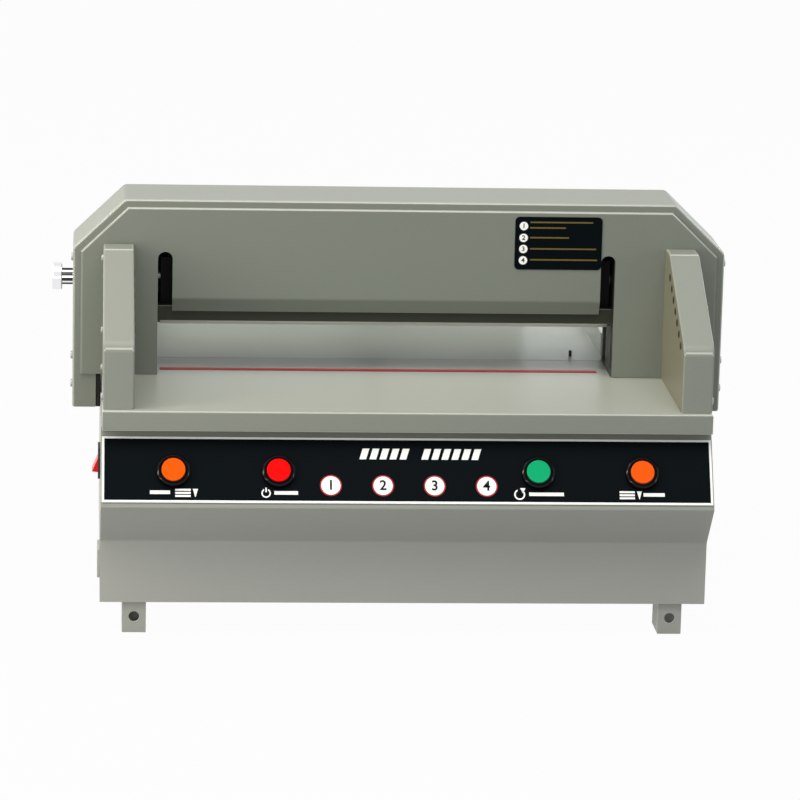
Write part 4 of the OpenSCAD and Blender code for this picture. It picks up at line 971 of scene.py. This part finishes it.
def makePanelMarks():
    m = markSet
    rings, discs, whites, numbers = [], [], [], []
    for i, x in enumerate(m["discs"]):
        rings.append(panelDisc(x, m["discRow"], m["discRadius"], m["skin"]))
        discs.append(panelDisc(x, m["discRow"], m["discRadius"] - m["ring"], m["discSkin"]))
        lift = Vector((x, -m["discRow"], panelSet["thick"] + m["skin"] + m["numberLift"])) * mm
        numbers.append(plainNumber(str(i + 1), m["number"], m["numberHigh"],
                                   panelBase @ Matrix.Translation(lift)))
    for start, count in m["title"]:
        for i in range(count):
            x = start + i * m["titlePitch"]
            whites.append(panelBar(x, x + m["titleBar"], m["titleTop"], m["titleLow"], m["lean"]))
    low, high = m["row"] - m["bar"] / 2, m["row"] + m["bar"] / 2
    for start, end in m["rowBars"]:
        whites.append(panelBar(start, end, low, high))
    for x in stackSet["spots"]:
        whites += stackMark(x, m["row"])
    whites += lampMark(m["row"]) + resetMark(m["row"])
    finishPiece(joinAll("panelMarks", whites), "machine", "control_plate", labelWhite)
    finishPiece(joinAll("panelRings", rings), "machine", "control_plate", markRed)
    finishPiece(joinAll("panelDiscs", discs), "machine", "control_plate", labelWhite)
    finishPiece(joinAll("panelNumbers", numbers), "machine", "control_plate", labelBlack)


makePanelMarks()

buttonSet = {"row": coverSet["row"], "bezelRadius": 16.2, "bezelHigh": 5.5, "slopeWide": 1.9,
             "slopeHigh": 1.2, "seat": 11.9, "floor": 1, "rest": 6.0, "ease": 0.3, "lensRadius": 11.6,
             "lensHigh": 2, "lensRound": 0.9, "lensRim": 1.6, "lensStep": 0.6, "lensSink": 0.2,
             "stem": 6, "stemEnd": -22, "stemRoom": 0.2, "neck": -18, "neckRadius": 11}


def makeBezel(x):
    b = buttonSet
    top = panelSet["thick"]
    wall = b["bezelHigh"] - b["slopeHigh"]
    bezel = startRound("bezel", (x, -b["row"], top), (0, 0, 1), b["bezelRadius"], wall, 64, panelBase)
    high = panelBase @ Vector((x * mm, -b["row"] * mm, (top + b["bezelHigh"]) * mm))
    ringRadius = b["bezelRadius"] - b["slopeWide"]
    pick(bezel, "faces", lambda f: f.normal.dot(panelOut) > 0.9)
    push(*(panelOut * b["slopeHigh"]))
    bpy.ops.transform.resize(value=(ringRadius / b["bezelRadius"],) * 3, center_override=high)
    bpy.ops.mesh.inset(thickness=(ringRadius - b["seat"]) * mm)
    push(*(-panelOut * (b["bezelHigh"] - b["floor"])))
    bpy.ops.mesh.inset(thickness=(b["seat"] - b["stem"] - b["stemRoom"]) * mm)
    push(*(-panelOut * (b["floor"] + top - b["neck"])))
    bpy.ops.mesh.delete(type="FACE")
    pick(bezel, "faces", lambda f: f.normal.dot(panelOut) < -0.9)
    bpy.ops.mesh.inset(thickness=(b["bezelRadius"] - b["neckRadius"]) * mm)
    push(*(-panelOut * (top - b["neck"])))
    bpy.ops.mesh.inset(thickness=(b["neckRadius"] - b["stem"] - b["stemRoom"]) * mm)
    bpy.ops.mesh.delete(type="FACE")
    mergePoints(bezel, 0.02)
    clearSelection()
    easeEdges(bezel, b["ease"], 2, 25)
    return bezel


def onSlope(face):  # the sloping band round a bezel
    b = buttonSet
    middle = panelBase.inverted() @ face.calc_center_median() / mm
    reach = min(math.hypot(middle.x - x, middle.y + b["row"]) for x in coverSet["holes"])
    bandStart = b["bezelRadius"] - b["slopeWide"] - 0.2
    return 0.72 < face.normal.dot(panelOut) < 0.97 and reach > bandStart


finishPiece(joinAll("buttonBezels", [makeBezel(x) for x in coverSet["holes"]]), "machine", "bezel",
            bezelGloss, "button_bezels", smooth=25, second=bezelEdge, where=onSlope)


def makeLens(x, name, body, slotName, node):
    b = buttonSet
    lens = startRound(name, (x, -b["row"], b["rest"]), (0, 0, 1), b["lensRadius"], b["lensHigh"], 64,
                      panelBase)
    top = panelBase @ Vector((0, 0, (b["rest"] + b["lensHigh"]) * mm))
    pick(lens, "faces", lambda f: f.normal.dot(panelOut) < -0.9)
    bpy.ops.mesh.inset(thickness=(b["lensRadius"] - b["stem"]) * mm)
    push(*(panelOut * (b["stemEnd"] - b["rest"])))
    clearSelection()
    roundOff(lens, lambda e: all(abs((v.co - top).dot(panelOut)) < 0.0001 for v in e.verts),
             b["lensRound"], 4)
    pick(lens, "faces", lambda f: f.normal.dot(panelOut) > 0.99)
    bpy.ops.mesh.inset(thickness=b["lensRim"] * mm)
    shift(*(panelOut * -b["lensSink"]))
    bpy.ops.mesh.inset(thickness=b["lensStep"] * mm)
    shift(*(panelOut * b["lensSink"]))
    finishPiece(lens, body, slotName, slotFinish[slotName], node, smooth=45)


leftX, lampX, resetX, rightX = coverSet["holes"]
makeLens(leftX, "leftCutButton", "cut_button_left", "orange_lens", "left_cut_button")
makeLens(rightX, "rightCutButton", "cut_button_right", "orange_lens", "right_cut_button")
makeLens(resetX, "resetButton", "reset_key", "green_lens", "reset_button")
makeLens(lampX, "powerLamp", "machine", "red_lens", "power_lamp")
easeNode("rocker_frame", "machine", "black_plastic", 0.6)
easeNode("power_rocker", "rocker", "red_lens", 0.9, 3, 25, finish=rockerRed)
print("control panel done")


# knob on the hood's left side

knobSet = {"end": -348.5, "head": 10, "radius": 13.9, "round": 1.2, "rim": 2.4, "dish": 0.5, "collar": 8.6,
           "hood": -hoodSet["half"], "gap": 0.3, "stem": 5, "inside": 26, "y": hoodSet["knobY"],
           "z": hoodSet["knobZ"], "sides": 72, "flutes": 9, "firstFlute": 67.5, "fluteHalf": 12.6,
           "fluteEdge": 0.2, "groove": 1.1, "ringIn": 2.3, "ringLong": 3.7, "ringEase": 0.5}


def makeKnob():
    k = knobSet
    knob = startRound("depthKnob", (k["end"], k["y"], k["z"]), (1, 0, 0), k["radius"], k["head"], k["sides"])
    roundOff(knob, lambda e: runs(e).x < 0.1, k["round"], 3)
    pick(knob, "faces", lambda f: f.normal.x < -0.9 and f.calc_area() > 0.0001)
    bpy.ops.mesh.inset(thickness=k["rim"] * mm)
    shift(k["dish"], 0, 0)
    pick(knob, "faces", lambda f: f.normal.x > 0.9 and f.calc_area() > 0.0001)
    bpy.ops.mesh.inset(thickness=(k["radius"] - k["round"] - k["collar"]) * mm)
    push(k["hood"] - k["gap"] - k["end"] - k["head"], 0, 0)
    bpy.ops.mesh.inset(thickness=(k["collar"] - k["stem"]) * mm)
    push(k["inside"] + k["gap"], 0, 0)

    def onCollar(face):
        place = spot(face)
        return k["end"] + k["head"] < place.x < k["hood"] - 0.5 and abs(face.normal.x) < 0.1

    def flute(face):
        place = spot(face)
        turn = math.degrees(math.atan2(place.z - k["z"], k["y"] - place.y))
        pitch = 360 / k["flutes"]
        off = (turn - k["firstFlute"] + pitch / 2) % pitch - pitch / 2
        return onCollar(face) and abs(off) < k["fluteHalf"]

    def inGroove(face):
        place = spot(face)
        return onCollar(face) and math.hypot(place.y - k["y"], place.z - k["z"]) < k["collar"] - 0.2

    pick(knob, "faces", flute)
    bpy.ops.mesh.inset(thickness=k["fluteEdge"] * mm, depth=-k["groove"] * mm)
    clearSelection()
    ring = startRound("knobRing", (k["hood"] + k["ringIn"], k["y"], k["z"]), (1, 0, 0), k["collar"],
                      k["ringLong"])
    easeEdges(ring, k["ringEase"], 2)
    # the grooves take the painted shade finish
    finishPiece(joinAll("depthKnob", [knob, ring]), "knob", "chrome", knobChrome, "depth_knob", smooth=40,
                second=knobGrooveShade, where=inGroove)


makeKnob()


# screw heads on the outsides

screwSet = {"radius": 4, "high": 2, "round": 1.1, "socketRim": 1.0, "socketDeep": 1.2,
            "hood": ((174, 117.4), (174, 17), (174, -12)),
            "wing": ((149, 121), (149, 48), (149, 10), (17.6, 10)),
            "hoodRear": ((-312, -14), (-312, 60), (-312, 118), (-240, 166), (-80, 166), (80, 166), (240, 166),
                         (312, 118), (312, 60), (312, -14)),
            "casingRear": ((-286, -40), (-286, -112), (-286, -186), (-95, -186), (95, -186), (286, -186),
                           (286, -112), (286, -40)), "casingBack": 430}


def makeScrew(foot, axis):
    s = screwSet
    head = startRound("screwHead", foot, axis, s["radius"], s["high"], 32)
    along = Vector(axis)
    face = at(*(Vector(foot) + along * s["high"]))
    roundOff(head, lambda e: all(abs((v.co - face).dot(along)) < 0.00005 for v in e.verts), s["round"], 4)
    pick(head, "faces", lambda f: f.normal.dot(along) > 0.99)
    bpy.ops.mesh.inset(thickness=s["socketRim"] * mm)
    push(*(along * -s["socketDeep"]))
    clearSelection()
    return head


screwHeads = []
for side in (-1, 1):
    screwHeads += [makeScrew((side * hoodSet["half"], y, z), (side, 0, 0)) for y, z in screwSet["hood"]]
    screwHeads += [makeScrew((side * wingSet["outer"], y, z), (side, 0, 0)) for y, z in screwSet["wing"]]
finishPiece(joinAll("casingScrews", screwHeads), "machine", "steel", screwZinc, "casing_screws")
rearHeads = [makeScrew((x, hoodSet["back"], z), (0, 1, 0)) for x, z in screwSet["hoodRear"]]
rearHeads += [makeScrew((x, screwSet["casingBack"], z), (0, 1, 0)) for x, z in screwSet["casingRear"]]
finishPiece(joinAll("rearScrews", rearHeads), "machine", "steel", screwZinc)


# painted shade: black blocks fill the gaps between the hood's skirts and the casing

gapBlockSet = {"inner": 299.2, "outer": 304.2, "front": 165, "back": 178, "low": -34.4, "high": -0.6,
           "round": 1.2}
gapBlocks = []
for side in (-1, 1):
    left, right = sorted((side * gapBlockSet["inner"], side * gapBlockSet["outer"]))
    gapBlock = startBlock("skirtGapBlock", (left, gapBlockSet["front"], gapBlockSet["low"]),
                      (right, gapBlockSet["back"], gapBlockSet["high"]))
    easeEdges(gapBlock, gapBlockSet["round"], 3)
    gapBlocks.append(gapBlock)
finishPiece(joinAll("skirtGapShade", gapBlocks), "machine", "belt", beltRubber)


# knife, clamp, stick and back gauge

easeNode("knife_carrier", "knife", "dark_steel", 0.8, finish=carrierOlive, second=groundSteel,
         where=lambda f: 0.2 < abs(f.normal.z) < 0.97 and abs(f.normal.y) > 0.2)
# the blade body is near black, painted shade seen through the slots; its ground edge stays steel
easeNode("knife_blade", "knife", "steel", 0.1, 1, finish=bladeShadeBlack, second=groundSteel,
         where=lambda f: f.normal.y < -0.5 and f.normal.z < -0.2)
easeNode("clamp_beam", "clamp", "dark_steel", 0.8)
easeNode("cutting_stick", "machine", "stick", 0.5)
easeNode("back_gauge", "gauge", "gauge", 0.6)
pinSet = {"spot": (185.4, 263.7, 0), "radius": 1.6, "high": 6, "round": 0.5}
stopPin = startRound("stopPin", pinSet["spot"], (0, 0, 1), pinSet["radius"], pinSet["high"], 32)
easeEdges(stopPin, pinSet["round"], 3, 50)
finishPiece(stopPin, "machine", "black_plastic", blackMoulding)
easeNode("rear_cover", "cover", "clear", 0.7)
print("knife, clamp and gauge done")


# every other node keeps its shape and gets its finish

for part in frame["record"]["subparts"]:
    node = nodes[part["node"]]
    node.data.materials.clear()
    node.data.materials.append(slotFinish[part["material_slot"]])

print("machine dressed")
